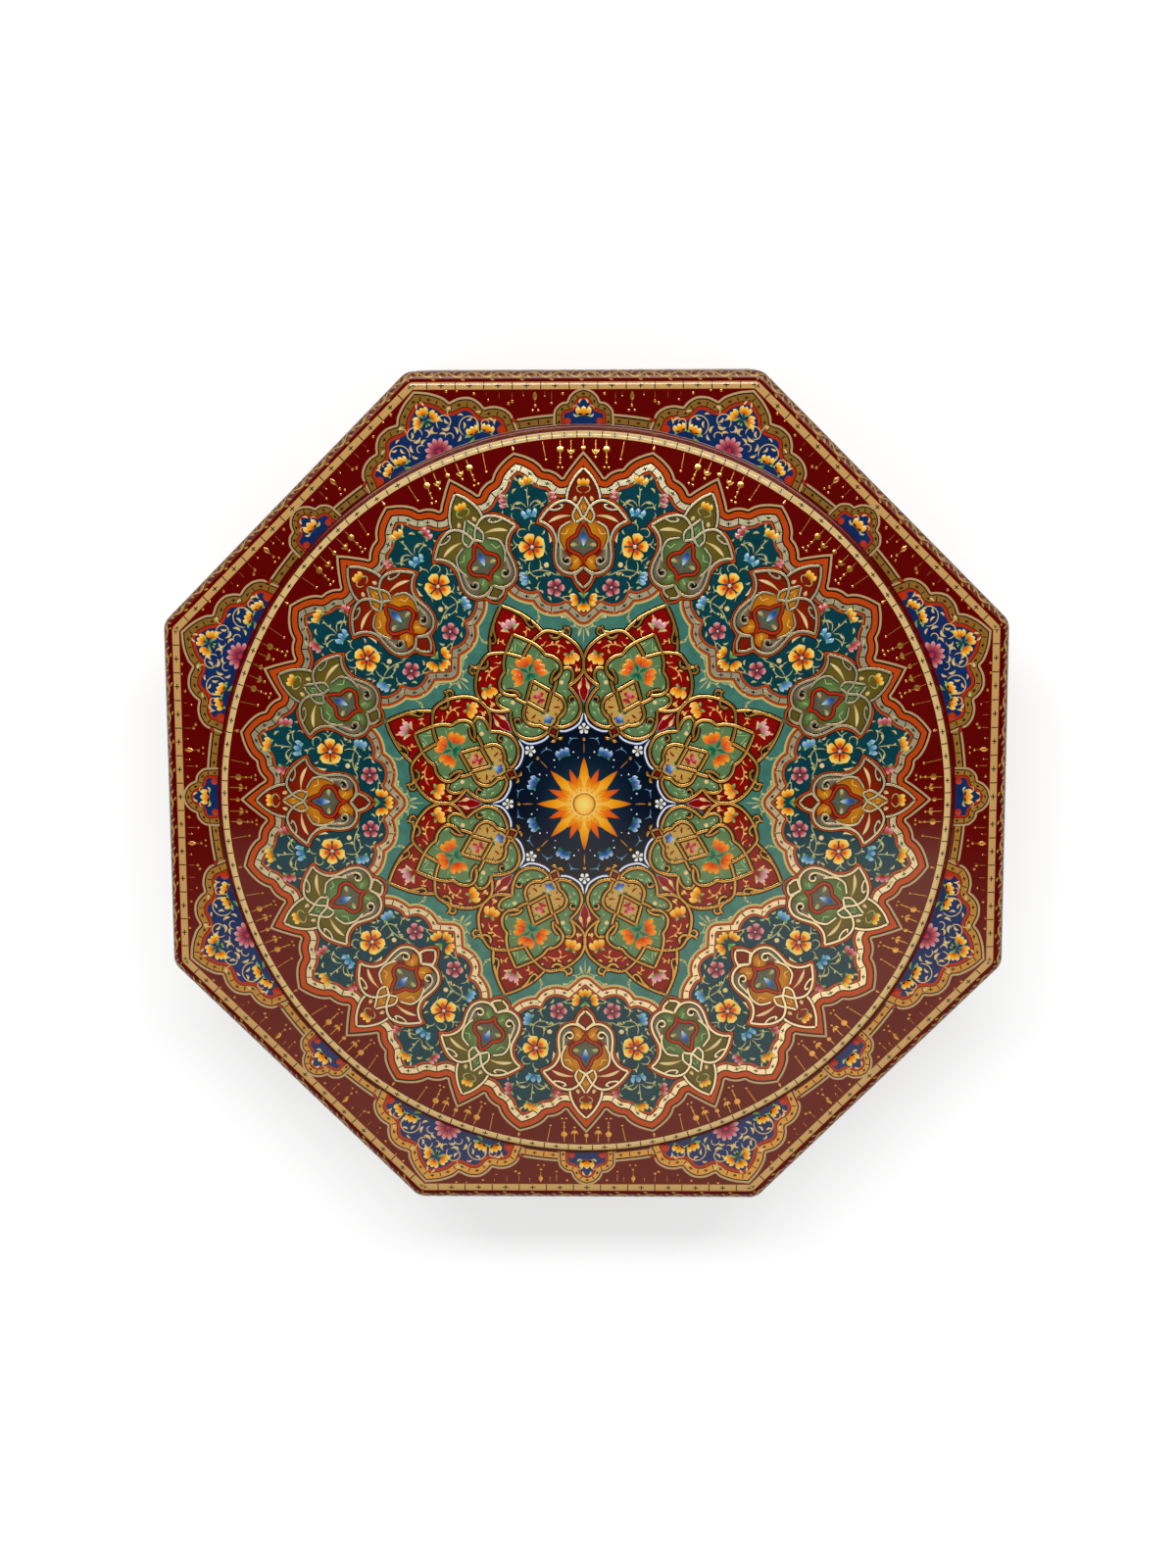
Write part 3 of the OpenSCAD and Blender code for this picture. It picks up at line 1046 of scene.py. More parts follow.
# %% Ticks on the bands, and the cream ring on the rim


def stretch(radii, gap, first, last):
    """A piece of the curve drawn in by a gap, between two angles in degrees."""
    pick = np.arange(int(first * SAMPLES / 360), int(last * SAMPLES / 360) + 1)
    return ring_path(drawn_in(radii, gap))[pick]


outer_ticks = marks(stretch(OUTER_CURVE, 4.45, 4.2, 18.3), 3.3, 1.7, 3)
inner_ticks = (marks(stretch(INNER_CURVE, 1.68, 0.6, 19.4), 3.2, 1.5, 3)
               + marks(stretch(INNER_CURVE, 1.68, 25.6, 44.4), 3.2, 1.5, 3))
lay("outer_ticks", outer_ticks, around(16), MEDALLION)
lay("inner_ticks", inner_ticks, AT_SIDES, MEDALLION)

RING_R, RING_WIDE = 119.75, 2.1
cream_ring = hoop(RING_R + RING_WIDE / 2, RING_R - RING_WIDE / 2, "cream", 1, SAMPLES // 2, 0.3)
lay("rim_ring", [cream_ring], WHOLE, MEDALLION)
quarter_ring = ring_path(np.full(SAMPLES, RING_R))[:SAMPLES // 4 + 1]
lay("rim_ticks", marks(quarter_ring, 4.1, 1.9, 2, cross=0.9), around(4), MEDALLION)

# %% [markdown]
# ## Hanging gold
# Below the ring, fine gold lines hang over the red field. Some end in drops, and some
# in three-lobed finials. They are strokes of shell gold.

# %% Gold finials


def pendant(u, low, drops, width=0.3):
    """A line from the ring down to a height, with drops given by height and radius."""
    parts = [line(np.linspace((u, 118.2), (u, low), 8), width, "gold", 1, ends=0.6)]
    return parts + [dot((u, v), r, "gold", 2, sides=10) for v, r in drops]


palm_gold = pendant(0, 115.6, [(115.3, 0.75)])
palm_gold += pair(
    *pendant(4, 112.8, [(114.3, 0.65), (112.4, 0.45)]),
    petal((4, 113.4), (5.1, 115.0), 0.5, "gold", 2, bend=-0.15),
    petal((4, 113.4), (2.9, 115.0), 0.5, "gold", 2, bend=0.15))
palm_gold += pair(*pendant(7.5, 109.8, [(114.9, 1.05), (112.3, 0.4), (110.6, 0.38)]),
                  dot((6.8, 109.1), 0.42, "gold", 2), dot((8.2, 109.1), 0.42, "gold", 2))
lay("hanging_gold", palm_gold, around(16), MEDALLION)
bell = [petal((0, 118.4), (0, 116.6), 1.0, "gold", 1, fat=0.7)]
bell += pair(*pendant(9.9, 112.2, [(111.9, 0.42)], 0.24))
lay("gold_bells", bell, around(16, TEAL_STEP), MEDALLION)

# %% [markdown]
# ## Palmettes
# Sixteen palmettes stand on the scalloped band, in turn orange and green. Two wings
# with silver edges cross below a pointed leaf, and a red trefoil holds a blue bud. Half
# of each curve is drawn, and pair() adds its mirror image.

# %% Curves of a palmette
LEAF_EDGE = [(0, 109), (1.2, 107.8), (2.5, 106.4), (4.1, 103.8), (5.1, 101.2), (5.5, 98.4)]
WING_TOP = [(-2.6, 91.2), (-1.2, 92.2), (0.3, 93.2), (1.4, 95.4), (2.8, 97.1), (4.8, 98.3),
            (6.9, 98.4), (9.6, 97.2), (12, 95), (14.4, 91.9)]
WING_LOW = [(14.4, 91.9), (12.6, 91.3), (10.5, 89.7), (9.2, 87.6), (8.7, 85.5)]
STEM = [(8.7, 85.5), (8.9, 83), (9, 80.5), (8.4, 77.8), (6.5, 75.8), (4, 75.1), (1.8, 75.8),
        (0, 77.3)]
SKIRT = [(6.0, 98.6), (9, 98.6), (12.2, 96.1), (14.2, 93.4), (15.1, 91.4)]
SKIRT_LOW = [(15.1, 91.4), (12.3, 90.2), (10.3, 87.8), (9.5, 84.8), (9.7, 80.8), (8.9, 77.3),
             (6.6, 75.0), (3.6, 74.1)]
BODY = [(4.2, 91.9), (5.8, 91.0), (7.5, 89.7), (8.1, 87.2), (7.7, 85), (6.4, 82.4)]
TREFOIL = [(0, 91.7), (1.45, 89.6), (2.3, 87.5), (3.4, 86.9)]
TREFOIL_LOW = [(3.4, 86.9), (4.9, 85.5), (4.9, 83.4), (3.5, 82.1), (1.5, 81.2), (0.5, 80.2),
               (0, 78.5)]


def silver_edges(*pieces, width, level, edge):
    """A silver line with dark edges along curves joined end to end, and its mirror image."""
    return pair(*edged(chain(*pieces), width, "silver", level, edge))


# %% Ground, pointed leaf and body of a palmette


def palmette_leaf(ground, foot):
    """The ground within its red edge, and a bud with curled stems in the pointed leaf."""
    kite = [(3.6, 74.1), (2.2, 71.2 + foot / 2), (0, 68.9 + foot)]
    outline = np.vstack([chain(LEAF_EDGE)[:-1], chain(SKIRT, SKIRT_LOW), chain(kite)[1:]])
    parts = [whole_of(outline, ground, 4, (0, 89), (0.2, 0.7))]
    parts += pair(*edged(chain(SKIRT, SKIRT_LOW, kite), 0.65, "vermilion", 4.4, 0.28))
    parts += silver_edges(LEAF_EDGE, width=0.78, level=5, edge=0.3)
    parts += flower((0, 103.2), 90, 2.5, "sunny", 6, 0.5)
    return parts + pair(*sprig((0.3, 100.9), 15, [(1.6, 20), (2.6, 150)], (), "bone", 5.5, 0.3),
                        petal((3.0, 98.3), (2.4, 100.0), 1.2, "cream", 6, fat=0.4))


def palmette_body(body):
    """The spear, the lobes and the volutes, in the body colour."""
    spear = chain([(0, 100.0), (1.4, 97.8), (2.8, 95.6), (3.4, 93.6), (4.2, 91.9)])
    outline = np.vstack([spear[:-1], chain(BODY), chain([(6.4, 82.4), (4, 84), (0, 83)])[1:]])
    knee = chain([(0.3, 78.7), (1.2, 80.8), (3, 81.5), (4.3, 80.6)],
                 [(4.3, 80.6), (3.6, 78.6), (4.6, 76.5)], [(4.6, 76.5), (2.2, 76.4), (0.3, 78.7)])
    return [whole_of(outline, body, 5, (0, 89.5), (0.1, 0.9)),
            *pair(fill(knee[:-1], body, 5, (2.4, 78.6), tones=(0.1, 0.9)))]


# %% Wings and trefoil of a palmette


def palmette_wings():
    """Silver edges above and below a dark stem, a hook, a pale leaf, and the volute's eye."""
    stem = chain([(8.5, 86.2), (8.9, 83), (9, 80.5), (8.4, 77.8), (6.5, 75.9)],
                 [(6.5, 75.9), (4.6, 76.6), (4.2, 78.4), (5.0, 80.8), (6.6, 82.8), (8.5, 86.2)])
    parts = pair(fill(stem[:-1], "slate", 5.4, (7.0, 80.4), tones=(0.3, 1)))
    parts += silver_edges(BODY, width=0.68, level=6, edge=0.25)
    parts += silver_edges([(0.2, 99.9), (1.5, 97.6), (2.9, 95.4), (3.5, 93.5), (2.6, 91.3)],
                          width=0.7, level=6, edge=0.25)
    parts += silver_edges(WING_TOP, width=0.8, level=6.4, edge=0.28)
    parts += silver_edges(WING_LOW, STEM, width=0.8, level=6.4, edge=0.28)
    hook = chain([(11.2, 95.7), (9.2, 95.5), (7.4, 96.1), (6.7, 96.9), (7.9, 97.3)])
    parts += pair(*edged(hook, 0.6, "silver", 6.2, 0.22),
                  petal((3.6, 93.6), (11.4, 91.5), 1.1, "cream", 6, bend=0.1, fat=0.62,
                        tones=(0.3, 0.9)))
    spiral = vine((7.6, 84.2), -100, (3.6, 12), (3.2, -70), (3.0, -150), (2.4, -150))
    return parts + pair(dot((5.9, 79.3), 1.15, "black", 6.6),
                        line(spiral, 0.5, "silver", 7, ends=0.8))


def palmette_trefoil():
    """A red edge round a dark ground, a blue bud, and leaves on both of its sides."""
    trefoil = chain(TREFOIL, TREFOIL_LOW)
    parts = [whole_of(trefoil, "slate", 6.6, (0, 85), (0.2, 0.6))]
    parts += pair(*edged(trefoil, 0.85, "brick", 7, 0.3))
    parts += [petal((0, 83.9), (0, 88.6), 2.1, "blue", 7.5, tones=(1, 0.1), fat=0.6),
              petal((0, 83.9), (0, 86.4), 1.0, "blue", 8.2, tones=(1, 0.6), fat=0.5)]
    return parts + pair(
        petal((0.2, 83.6), (1.7, 83.9), 0.8, "emerald", 8, bend=0.2),
        petal((1.9, 84.2), (4.2, 84.2), 1.3, "bone", 7.4, bend=0.1, tones=(0, 0.6)))


# %% Whole palmettes


def palmette(ground, body, squiggle, foot):
    """All parts of one palmette: pale squiggles on its lobes and a kite at its foot too."""
    parts = palmette_leaf(ground, foot) + palmette_body(body)
    parts += palmette_wings() + palmette_trefoil()
    parts += pair(
        line(vine((4.4, 89.6), -10, (1.6, -80), (1.4, 120), (1.2, -60)), 0.34,
             squiggle, 6.2, ends=0.8),
        line(vine((1.4, 79.6), 20, (1.3, -90), (1.2, 110)), 0.34, squiggle, 6.2, ends=0.6),
        line(vine((0.3, 97.3), -80, (2.0, 30), (1.6, -50)), 0.3, squiggle, 6.2, ends=0.8))
    return parts + silver_edges(
        [(0, 77.0), (2.9, 74.6)], [(2.9, 74.6), (2.0, 72.4 + foot / 2), (0, 70.4 + foot)],
        width=0.75, level=5.6, edge=0.28)


lay("palmettes_orange", palmette("umber_red", "ochre", "amber", 0.0), AT_SIDES, MEDALLION)
lay("palmettes_green", palmette("olive", "palm", "lime", 2.1), AT_CORNERS, MEDALLION)

# %% [markdown]
# ## Flowers on the dark ground
# Between two palmettes, flowers and buds hang on pale tendrils. The motif is mirrored
# from one gap to the next, so that orange palmettes always see the same leaf.

# %% Flowers between the palmettes
teal_flowers = [
    *blossom((0, 85.3), 4.5, 5, "sunny", 3, 96, 1.02),
    *flower((1.2, 94.9), 90, 2.7, "azure", 3, 0.75, "mint"),
    *flower((2.3, 105.2), 96, 2.9, "sunny", 3),
    *flower((-5.0, 101.4), 172, 2.9, "rose", 3, 0.5),
    *flower((8.0, 99.4), 0, 2.9, "rose", 3, 0.5),
    *flower((-3.2, 76.0), 185, 2.9, "azure", 3, 0.45)]
teal_flowers += blossom((4.9, 71.0), 3.0, 5, "rose", 3, 60, 0.95, "pink")
teal_flowers += [petal((6.1, 90.4), (5.9, 85.4), 1.5, "cream", 3, bend=0.16, fat=0.45),
                 dot((3.4, 78.7), 0.85, "cream", 3)]
teal_tendrils = [
    ((0.2, 90.4), 110, [(2.2, -70), (2.2, -80), (1.2, 60)], [(0.45, 1, 1.6)]),
    ((-0.6, 90.8), 130, [(2.4, 60), (2.6, 110), (1.6, 80)], [(0.3, -1, 1.7)]),
    ((1.0, 97.9), 70, [(3.2, 20), (3.6, -25)], [(0.45, -1, 1.5), (0.8, 1, 1.2)]),
    ((0.6, 98.0), 110, [(2.4, 30), (3.0, 100), (1.4, 60)], [(0.35, 1, 2.2)]),
    ((1.6, 98.0), 60, [(2.6, -40), (3.0, -110), (1.6, -70)], [(0.4, -1, 2.0)]),
    ((-0.6, 97.6), 140, [(2.6, 30), (2.2, -90)], [(0.5, 1, 1.5)]),
    ((2.6, 97.6), 35, [(3.2, -40), (2.2, 60)], [(0.5, -1, 1.6)]),
    ((-1.4, 80.9), 230, [(2.8, 40), (3.4, 70), (2.6, 40)], [(0.35, -1, 1.5), (0.7, -1, 1.4)], 0.4),
    ((1.4, 80.9), 300, [(2.2, -60), (1.6, 60)], [(0.5, 1, 1.5)]),
    ((-2.0, 77.4), 15, [(3.0, -25), (4.4, -30), (2.2, 20)], [(0.3, 1, 1.6), (0.6, -1, 1.6)]),
    ((4.2, 81.8), 90, [(2.0, 40), (1.6, 70)], [(0.4, -1, 2.2)]),
    ((-5.4, 89.0), 250, [(1.6, 60), (1.6, -120), (1.6, 60)], [(0.4, 1, 1.3)]),
    ((-4.6, 83.0), 270, [(1.6, 70), (1.8, -110)], [(0.5, 1, 1.6)]),
    ((-6.2, 78.6), 80, [(1.8, -80), (1.2, 80)], [(0.5, -1, 1.2)]),
    ((0.6, 74.0), 200, [(1.8, 50), (1.8, -120)], [(0.5, 1, 1.5)]),
    ((8.2, 73.8), 110, [(1.8, 60), (1.4, -90)], [(0.5, -1, 1.3)]),
    ((6.6, 68.0), 330, [(2.0, 30), (1.6, -60)], [(0.5, -1, 1.4)]),
    ((-2.2, 109.0), 200, [(1.6, 60), (1.4, -80)], [(0.5, 1, 1.1)]),
    ((6.0, 103.6), 80, [(1.6, 70), (1.2, -80)], [(0.5, -1, 1.2)]),
    ((-4.0, 97.4), 200, [(1.4, 80), (1.4, -100)], [(0.5, 1, 1.4)]),
]
for start, heading, turns, leaves, *knob in teal_tendrils:
    teal_flowers += sprig(start, heading, turns, leaves, "bone", 2.6, 0.32, *knob)
teal_flowers += commas([
    (-5.6, 92.2, -3.8, 93.4), (3.6, 92.0, 5.2, 93.2, -0.2),
    (-3.0, 103.2, -1.4, 104.6), (4.8, 107.2, 3.4, 108.6),
    (-7.6, 103.6, -6.4, 105.4), (9.6, 103.0, 8.4, 104.6, -0.2),
    (0.0, 107.0, -1.2, 108.6), (6.2, 96.6, 7.6, 95.4),
    (-7.2, 98.8, -8.2, 97.2), (-5.8, 87.0, -6.9, 88.4),
    (6.0, 83.4, 7.0, 81.8), (-6.0, 81.8, -5.0, 80.2),
    (2.2, 76.4, 3.4, 75.0), (-0.8, 71.2, 0.6, 70.0),
    (7.6, 77.2, 6.4, 75.8, -0.2), (-4.8, 72.8, -3.2, 72.0),
    (1.6, 68.8, 2.6, 67.2), (9.8, 70.0, 8.6, 68.6),
    (-3.4, 69.8, -1.8, 68.9), (3.8, 88.6, 4.9, 89.9, -0.2)], "bone")
lay("teal_flowers", teal_flowers, [(TEAL_STEP + i * PALM_STEP, i % 2 == 1) for i in range(16)],
    MEDALLION)

foot_flowers = [*flower((0, 65.4), 270, 2.6, "sunny", 3, 0.5, "")]
foot_flowers += pair(
    *flower((1.9, 67.0), -12, 2.6, "sunny", 3, 0.5, ""),
    petal((0.2, 67.0), (1.6, 69.0), 1.0, "leaf", 3, bend=0.2),
    petal((0.6, 66.4), (2.4, 64.6), 0.8, "leaf", 2.6, bend=-0.2),
    *sprig((4.6, 66.2), 10, [(2.2, 30), (1.8, -50)], [(0.5, 1, 1.2)], "bone", 2.6, 0.3),
    *sprig((3.0, 71.4), 100, [(2.0, 70), (2.0, 90)], [(0.4, -1, 1.6)], "bone", 2.6, 0.3))
lay("foot_flowers", foot_flowers, AT_SIDES, MEDALLION)

# %% [markdown]
# ## The rosette
# Eight motifs stand round the middle. Raised gold straps with dark edges run over and
# under one another, and between them lie red, green and sand-coloured grounds with
# small flowers.

# %% The rosette's grounds
ARCH = [(0, 70.2), (3, 67.4), (6, 63.8), (8, 60.3), (9.4, 56.7)]
SIDE_LOBE = [(0, 52), (1.9, 53.6), (4.5, 55.4), (8, 56.8), (10.5, 57), (13.2, 55.4), (15.6, 53),
             (17.4, 50), (18.3, 47), (17.9, 43), (16, 40), (13, 38.4), (10.2, 37.7)]
HEART_TOP = [(0, 60.2), (2.8, 57.4), (4.9, 55.1), (6.6, 52.3), (7.2, 50.1)]
HEART_SIDE = [(7.2, 50.1), (9.3, 48.5), (10.6, 46), (10.2, 43.6), (8.4, 42.1), (6.2, 41.2)]
EAR = [(4.4, 37.4), (6.5, 39.7), (8, 41.8), (10.4, 43.5), (12.8, 43.2), (13.3, 41.2),
       (12.1, 39.0), (10.3, 37.7)]
LOW_LOBE = [(10.3, 37.7), (11.5, 34.2), (11.5, 30.2), (9.5, 27.4), (6.4, 26.0), (3, 26.2),
            (1.4, 27.4), (0, 29.2)]
SHIELD = [(4.9, 37.6), (6.9, 34.8), (6.8, 31.9), (5, 30.1), (3.3, 29.4), (2.2, 28.0), (0, 26.9)]
SQUARE = [(0, 44.0), (4.4, 38.4), (0, 32.8)]


arch_ground = chain(ARCH, [(9.4, 56.7), (8, 55.5), (4.5, 54.5), (0, 52)])
heart_ground = chain(HEART_TOP, HEART_SIDE, [(6.2, 41.2), (6.0, 38.6), (4.2, 36.6), (0, 36)])
side_ground = np.vstack([chain(SIDE_LOBE), chain([(10.2, 37.7), (3, 42), (0, 52)])[1:-1]])
ear_ground = np.vstack([chain(EAR), chain([(10.3, 37.7), (7, 35.6), (4.4, 37.4)])[1:-1]])
low_ground = np.vstack([chain(LOW_LOBE), chain([
    (0, 29.2), (0, 36), (4.4, 38.6),
    (10.3, 37.7)])[1:-1]])
rosette = [
    whole_of(arch_ground, "crimson", 2, (0, 60)),
    *pair(fill(side_ground, "crimson", 2.4, (9, 47), tones=(0.3, 0.7))),
    whole_of(heart_ground, "sage", 3, (0, 47)),
    *pair(fill(low_ground, "sage", 2.8, (6.2, 33), tones=(0.3, 0.7)),
          fill(ear_ground, "sage", 3.2, (9.4, 40.2), tones=(0.3, 0.7))),
    whole_of(chain(SHIELD[::-1])[::-1], "sand", 3.6, (0, 33.4)),
    whole_of(chain(SQUARE[:2], SQUARE[1:]), "sand", 4.4, (0, 38.4)),
    whole_of(chain([(0, 27.8), (1.7, 25.9)], [(1.7, 25.9), (0, 23.9)]), "crimson", 4.4, (0, 25.9))]
between = fill(chain(
    [(15.5, 40.6), (18.6, 35.8)], [(18.6, 35.8), (13.2, 31.2)],
    [(13.2, 31.2), (11.6, 34.4), (10.4, 37.4)],
    [(10.4, 37.4), (13, 38.4), (15.5, 40.6)])[:-1], "crimson", 1.6, (14.6, 36.2))

# %% The rosette's straps


def strap(path, level, width=0.9, taper=False):
    """A gold bead with dark edges; a tapered one ends in a fine point."""
    if taper:
        width = width * np.linspace(1, 0.35, len(path)) ** 0.8
    return edged(path, width, "gold", level, 0.42, ends=0.5)


straps = []
straps += pair(*strap(chain(ARCH), 5.0), *strap(chain(
    [(4.4, 65.9), (5.4, 63.4), (5.7, 61.2), (6.5, 59.8), (7.7, 60.0), (7.6, 61.4)]), 5.4, 0.8,
    True))
straps += pair(line(chain([(7.2, 62.6), (6.9, 61.2), (7.3, 60.7)]), 0.7, "black", 6.6))
straps += pair(*strap(chain(SIDE_LOBE), 6.2))
straps += pair(
    *strap(chain([(13.6, 55.2), (15.2, 54.6), (16.4, 55.4), (16.8, 56.7)]), 6.4, 1.1, True),
    *strap(chain([(16.5, 55.6), (17.6, 54.6), (17.2, 53.3), (15.9, 53.2)]), 6.4, 0.9, True),
    *strap(chain([(11.0, 55.6), (11.4, 54.1), (13.0, 53.4), (14.8, 54.2)]), 5.6, 0.8),
    dot((12.6, 54.5), 0.6, "black", 6.8, sides=9))
straps += pair(
    *strap(chain(HEART_TOP, HEART_SIDE), 7.4),
    *strap(chain([(6.2, 41.2), (5.5, 40.7), (6.1, 42.3), (7.6, 43.6), (9.0, 44.2)]), 5.6, 0.7))
straps += pair(
    *strap(chain(EAR), 5.2), *strap(chain(LOW_LOBE[:-1]), 5.8),
    *strap(chain([(10.9, 33.6), (9.6, 34.2), (8.7, 33.5), (9.0, 32.0)]), 5.6, 0.8, True),
    dot((9.8, 33.2), 0.6, "black", 6.6, sides=9))
straps += pair(*strap(chain(SHIELD[::-1]), 6.8, 0.9))
straps += pair(*strap(chain(SQUARE[:2]), 8.2), *strap(chain(SQUARE[1:]), 8.2))
straps += pair(
    *strap(chain([(0, 27.9), (1.8, 25.9)]), 8.4, 0.6),
    *strap(chain([(1.8, 25.9), (0, 23.7)]), 8.4, 0.6),
    petal((0.1, 23.6), (2.2, 23.3), 0.9, "gold", 8, bend=-0.25))
lay("rosette_grounds", rosette + [between], AT_CORNERS, MEDALLION)
lay("rosette_straps", straps, AT_CORNERS, MEDALLION)

# %% The rosette's small flowers
small = flower((0, 62.3), 90, 3.0, "pink", 4)
small += pair(
    petal((0.8, 61.0), (3.4, 62.6), 1.0, "cream", 4, bend=0.15),
    *sprig((3.0, 57.6), 20, [(2.0, 60), (1.6, -120)], [(0.4, 1, 1.4)], "amber", 4, 0.32))
# three orange tulips on dark leaves
small += flower((0, 48.9), 90, 3.6, "flame", 5.4, 0.5, "")
small += pair(
    *flower((2.3, 46.6), 6, 3.6, "flame", 5, 0.5, ""),
    petal((0.3, 46.6), (2.8, 48.9), 1.0, "emerald", 5, bend=0.15),
    petal((0.2, 46.6), (2.2, 44.7), 1.5, "emerald", 5, bend=-0.2),
    *sprig((2.2, 44.0), 10, [(3.4, 50), (2.6, 90)], [(0.4, 1, 1.2)], "lime", 4, 0.3),
    *sprig((0.2, 58.0), -78, [(3.4, 25), (2.2, -60)], [], "lime", 4, 0.3),
    *sprig((5.2, 51.6), 250, [(2.2, -60)], [], "lime", 4, 0.3))
# the side lobes: a rosebud, a leaf and pale curls
small += pair(
    *flower((14.3, 47.0), -84, 3.4, "sunny", 4, 0.5, ""),
    petal((14.4, 47.0), (12.9, 48.1), 1.1, "leaf", 4, bend=0.15),
    petal((14.4, 47.0), (16.2, 48.0), 1.1, "leaf", 4, bend=-0.15),
    *sprig((8.0, 52.3), 10, [(4.0, -40), (3.4, -35)], [(0.3, 1, 1.6), (0.6, -1, 1.4)],
           "amber", 4, 0.32),
    *sprig((15.2, 43.4), -95, [(3.2, 20)], [(0.3, -1, 1.6), (0.5, 1, 1.6)], "amber", 4, 0.3),
    *sprig((9.4, 53.8), 160, [(1.4, 80), (1.4, -100)], [(0.5, -1, 1.3)], "amber", 4, 0.3))
# the square and the shield under it
small += [petal((0, 37.2), (0, 39.8), 1.8, "rose", 6, tones=(0.3, 0.9)),
          line(np.linspace((0, 35.2), (0, 37.6), 5), 0.3, "emerald", 5.6)]
small += pair(
    petal((0.1, 37.6), (2.0, 38.6), 1.4, "carmine", 5.8, bend=0.2),
    petal((0.1, 37.4), (1.5, 36.5), 1.2, "carmine", 5.8, bend=-0.2),
    petal((0.1, 40.3), (1.0, 41.3), 0.6, "emerald", 5.8),
    petal((2.4, 38.9), (3.4, 38.5), 0.5, "umber_red", 5.8),
    petal((1.2, 35.2), (1.8, 36.1), 0.4, "umber_red", 5.8))
small += [petal((0, 32.0), (0, 28.6), 2.3, "blue", 5.8, fat=0.6, tones=(1, 0.2))]
small += pair(
    petal((0.2, 31.7), (1.9, 29.6), 1.0, "blue", 5.4, bend=-0.15, tones=(0.7, 0.3)),
    petal((0.2, 32.2), (1.7, 32.6), 0.8, "emerald", 6, bend=0.2),
    petal((3.0, 33.4), (5.2, 32.6), 0.7, "umber_red", 5, bend=-0.1),
    petal((5.0, 34.4), (5.8, 35.2), 0.5, "umber_red", 5),
    petal((3.2, 31.4), (2.6, 30.4), 0.6, "umber_red", 5),
    petal((4.6, 31.8), (5.2, 31.0), 0.45, "umber_red", 5))
# the ears and the lower lobes
small += pair(
    dot((8.6, 39.7), 0.8, "cream", 4.4), dot((11.2, 41.4), 0.35, "cream", 4.4),
    *sprig((6.4, 29.2), 30, [(2.2, 80), (1.6, -120)], [(0.4, -1, 1.3)], "lime", 4, 0.3),
    *sprig((8.8, 30.6), 100, [(1.8, -70)], [(0.5, 1, 1.2)], "lime", 4, 0.3),
    *sprig((8.6, 35.6), 70, [(1.8, 50)], [(0.5, 1, 1.0)], "lime", 4, 0.3))
small += pair(*commas([
    (11.6, 51.6, 13.2, 52.4), (16.4, 50.4, 15.2, 51.6),
    (16.8, 45.4, 15.6, 46.6), (12.0, 50.2, 10.8, 49.0),
    (15.4, 41.8, 14.0, 41.4), (2.2, 54.9, 3.8, 55.4),
    (6.4, 56.0, 8.0, 55.2), (1.6, 64.6, 2.8, 65.8, -0.2),
    (4.6, 60.6, 5.6, 59.0)], "amber", 4))
small += pair(*commas([
    (4.8, 43.6, 6.4, 44.2), (6.6, 48.6, 5.6, 50.2, -0.2),
    (1.3, 54.8, 2.5, 53.4), (8.8, 46.2, 9.2, 44.4),
    (3.0, 55.4, 1.8, 56.6), (9.6, 34.8, 8.2, 34.0),
    (7.6, 28.4, 9.0, 29.2), (9.8, 30.6, 10.4, 32.2),
    (3.4, 27.9, 4.8, 27.6), (10.4, 42.0, 9.4, 40.8)], "lime", 4))
lay("rosette_flowers", small, AT_CORNERS, MEDALLION)
# the red spaces on the axes between two motifs, in the frame of those axes
spaces = pair(
    petal((0.8, 40.6), (1.7, 37.6), 1.2, "cream", 3, fat=0.6),
    line(chain([(0.2, 33.4), (1.4, 36.8), (1.0, 39.6), (0.3, 42.6)]), 0.3, "pink", 2.6),
    *sprig((0.4, 41.2), 30, [(1.6, 60)], [], "pink", 2.6, 0.26))
lay("rosette_spaces", spaces, AT_SIDES, MEDALLION)

# %% Curls on the pale star
star = pair(
    *sprig((0.8, 56.6), 60, [(3.2, -60), (3.0, -60)], [(0.3, 1, 1.5), (0.6, -1, 1.5)],
           "bone", 2, 0.34),
    *sprig((3.4, 59.6), 10, [(2.8, 50), (2.2, -100)], [(0.5, -1, 1.5)], "bone", 2, 0.34),
    *sprig((9.0, 61.6), 30, [(2.6, 60), (2.0, -110)], [(0.4, -1, 1.4)], "bone", 2, 0.34),
    petal((0.2, 58.0), (1.6, 54.8), 0.9, "bone", 2, bend=0.1),
    petal((14.0, 61.0), (15.2, 57.6), 0.9, "bone", 2, bend=0.15),
    *sprig((14.8, 63.8), -70, [(2.4, -60), (1.8, 90)], [(0.5, 1, 1.2)], "bone", 2, 0.3),
    dot((7.0, 61.2), 0.5, "bone", 2), dot((11.8, 62.4), 0.4, "bone", 2))
star += [line(np.linspace((0, 52.6), (0, 57.6), 8), 0.34, "bone", 2, ends=1.5)]
lay("star_curls", star, AT_SIDES, MEDALLION)

# %% [markdown]
# ## The window
# The middle of the rosette is a dark window. It holds a plain rosette of its own, in the
# colours round it: a sunburst of gold and orange rays on blue-black, ringed with small
# white and blue blossoms. Each ray is one dab of the brush, repeated by eights.

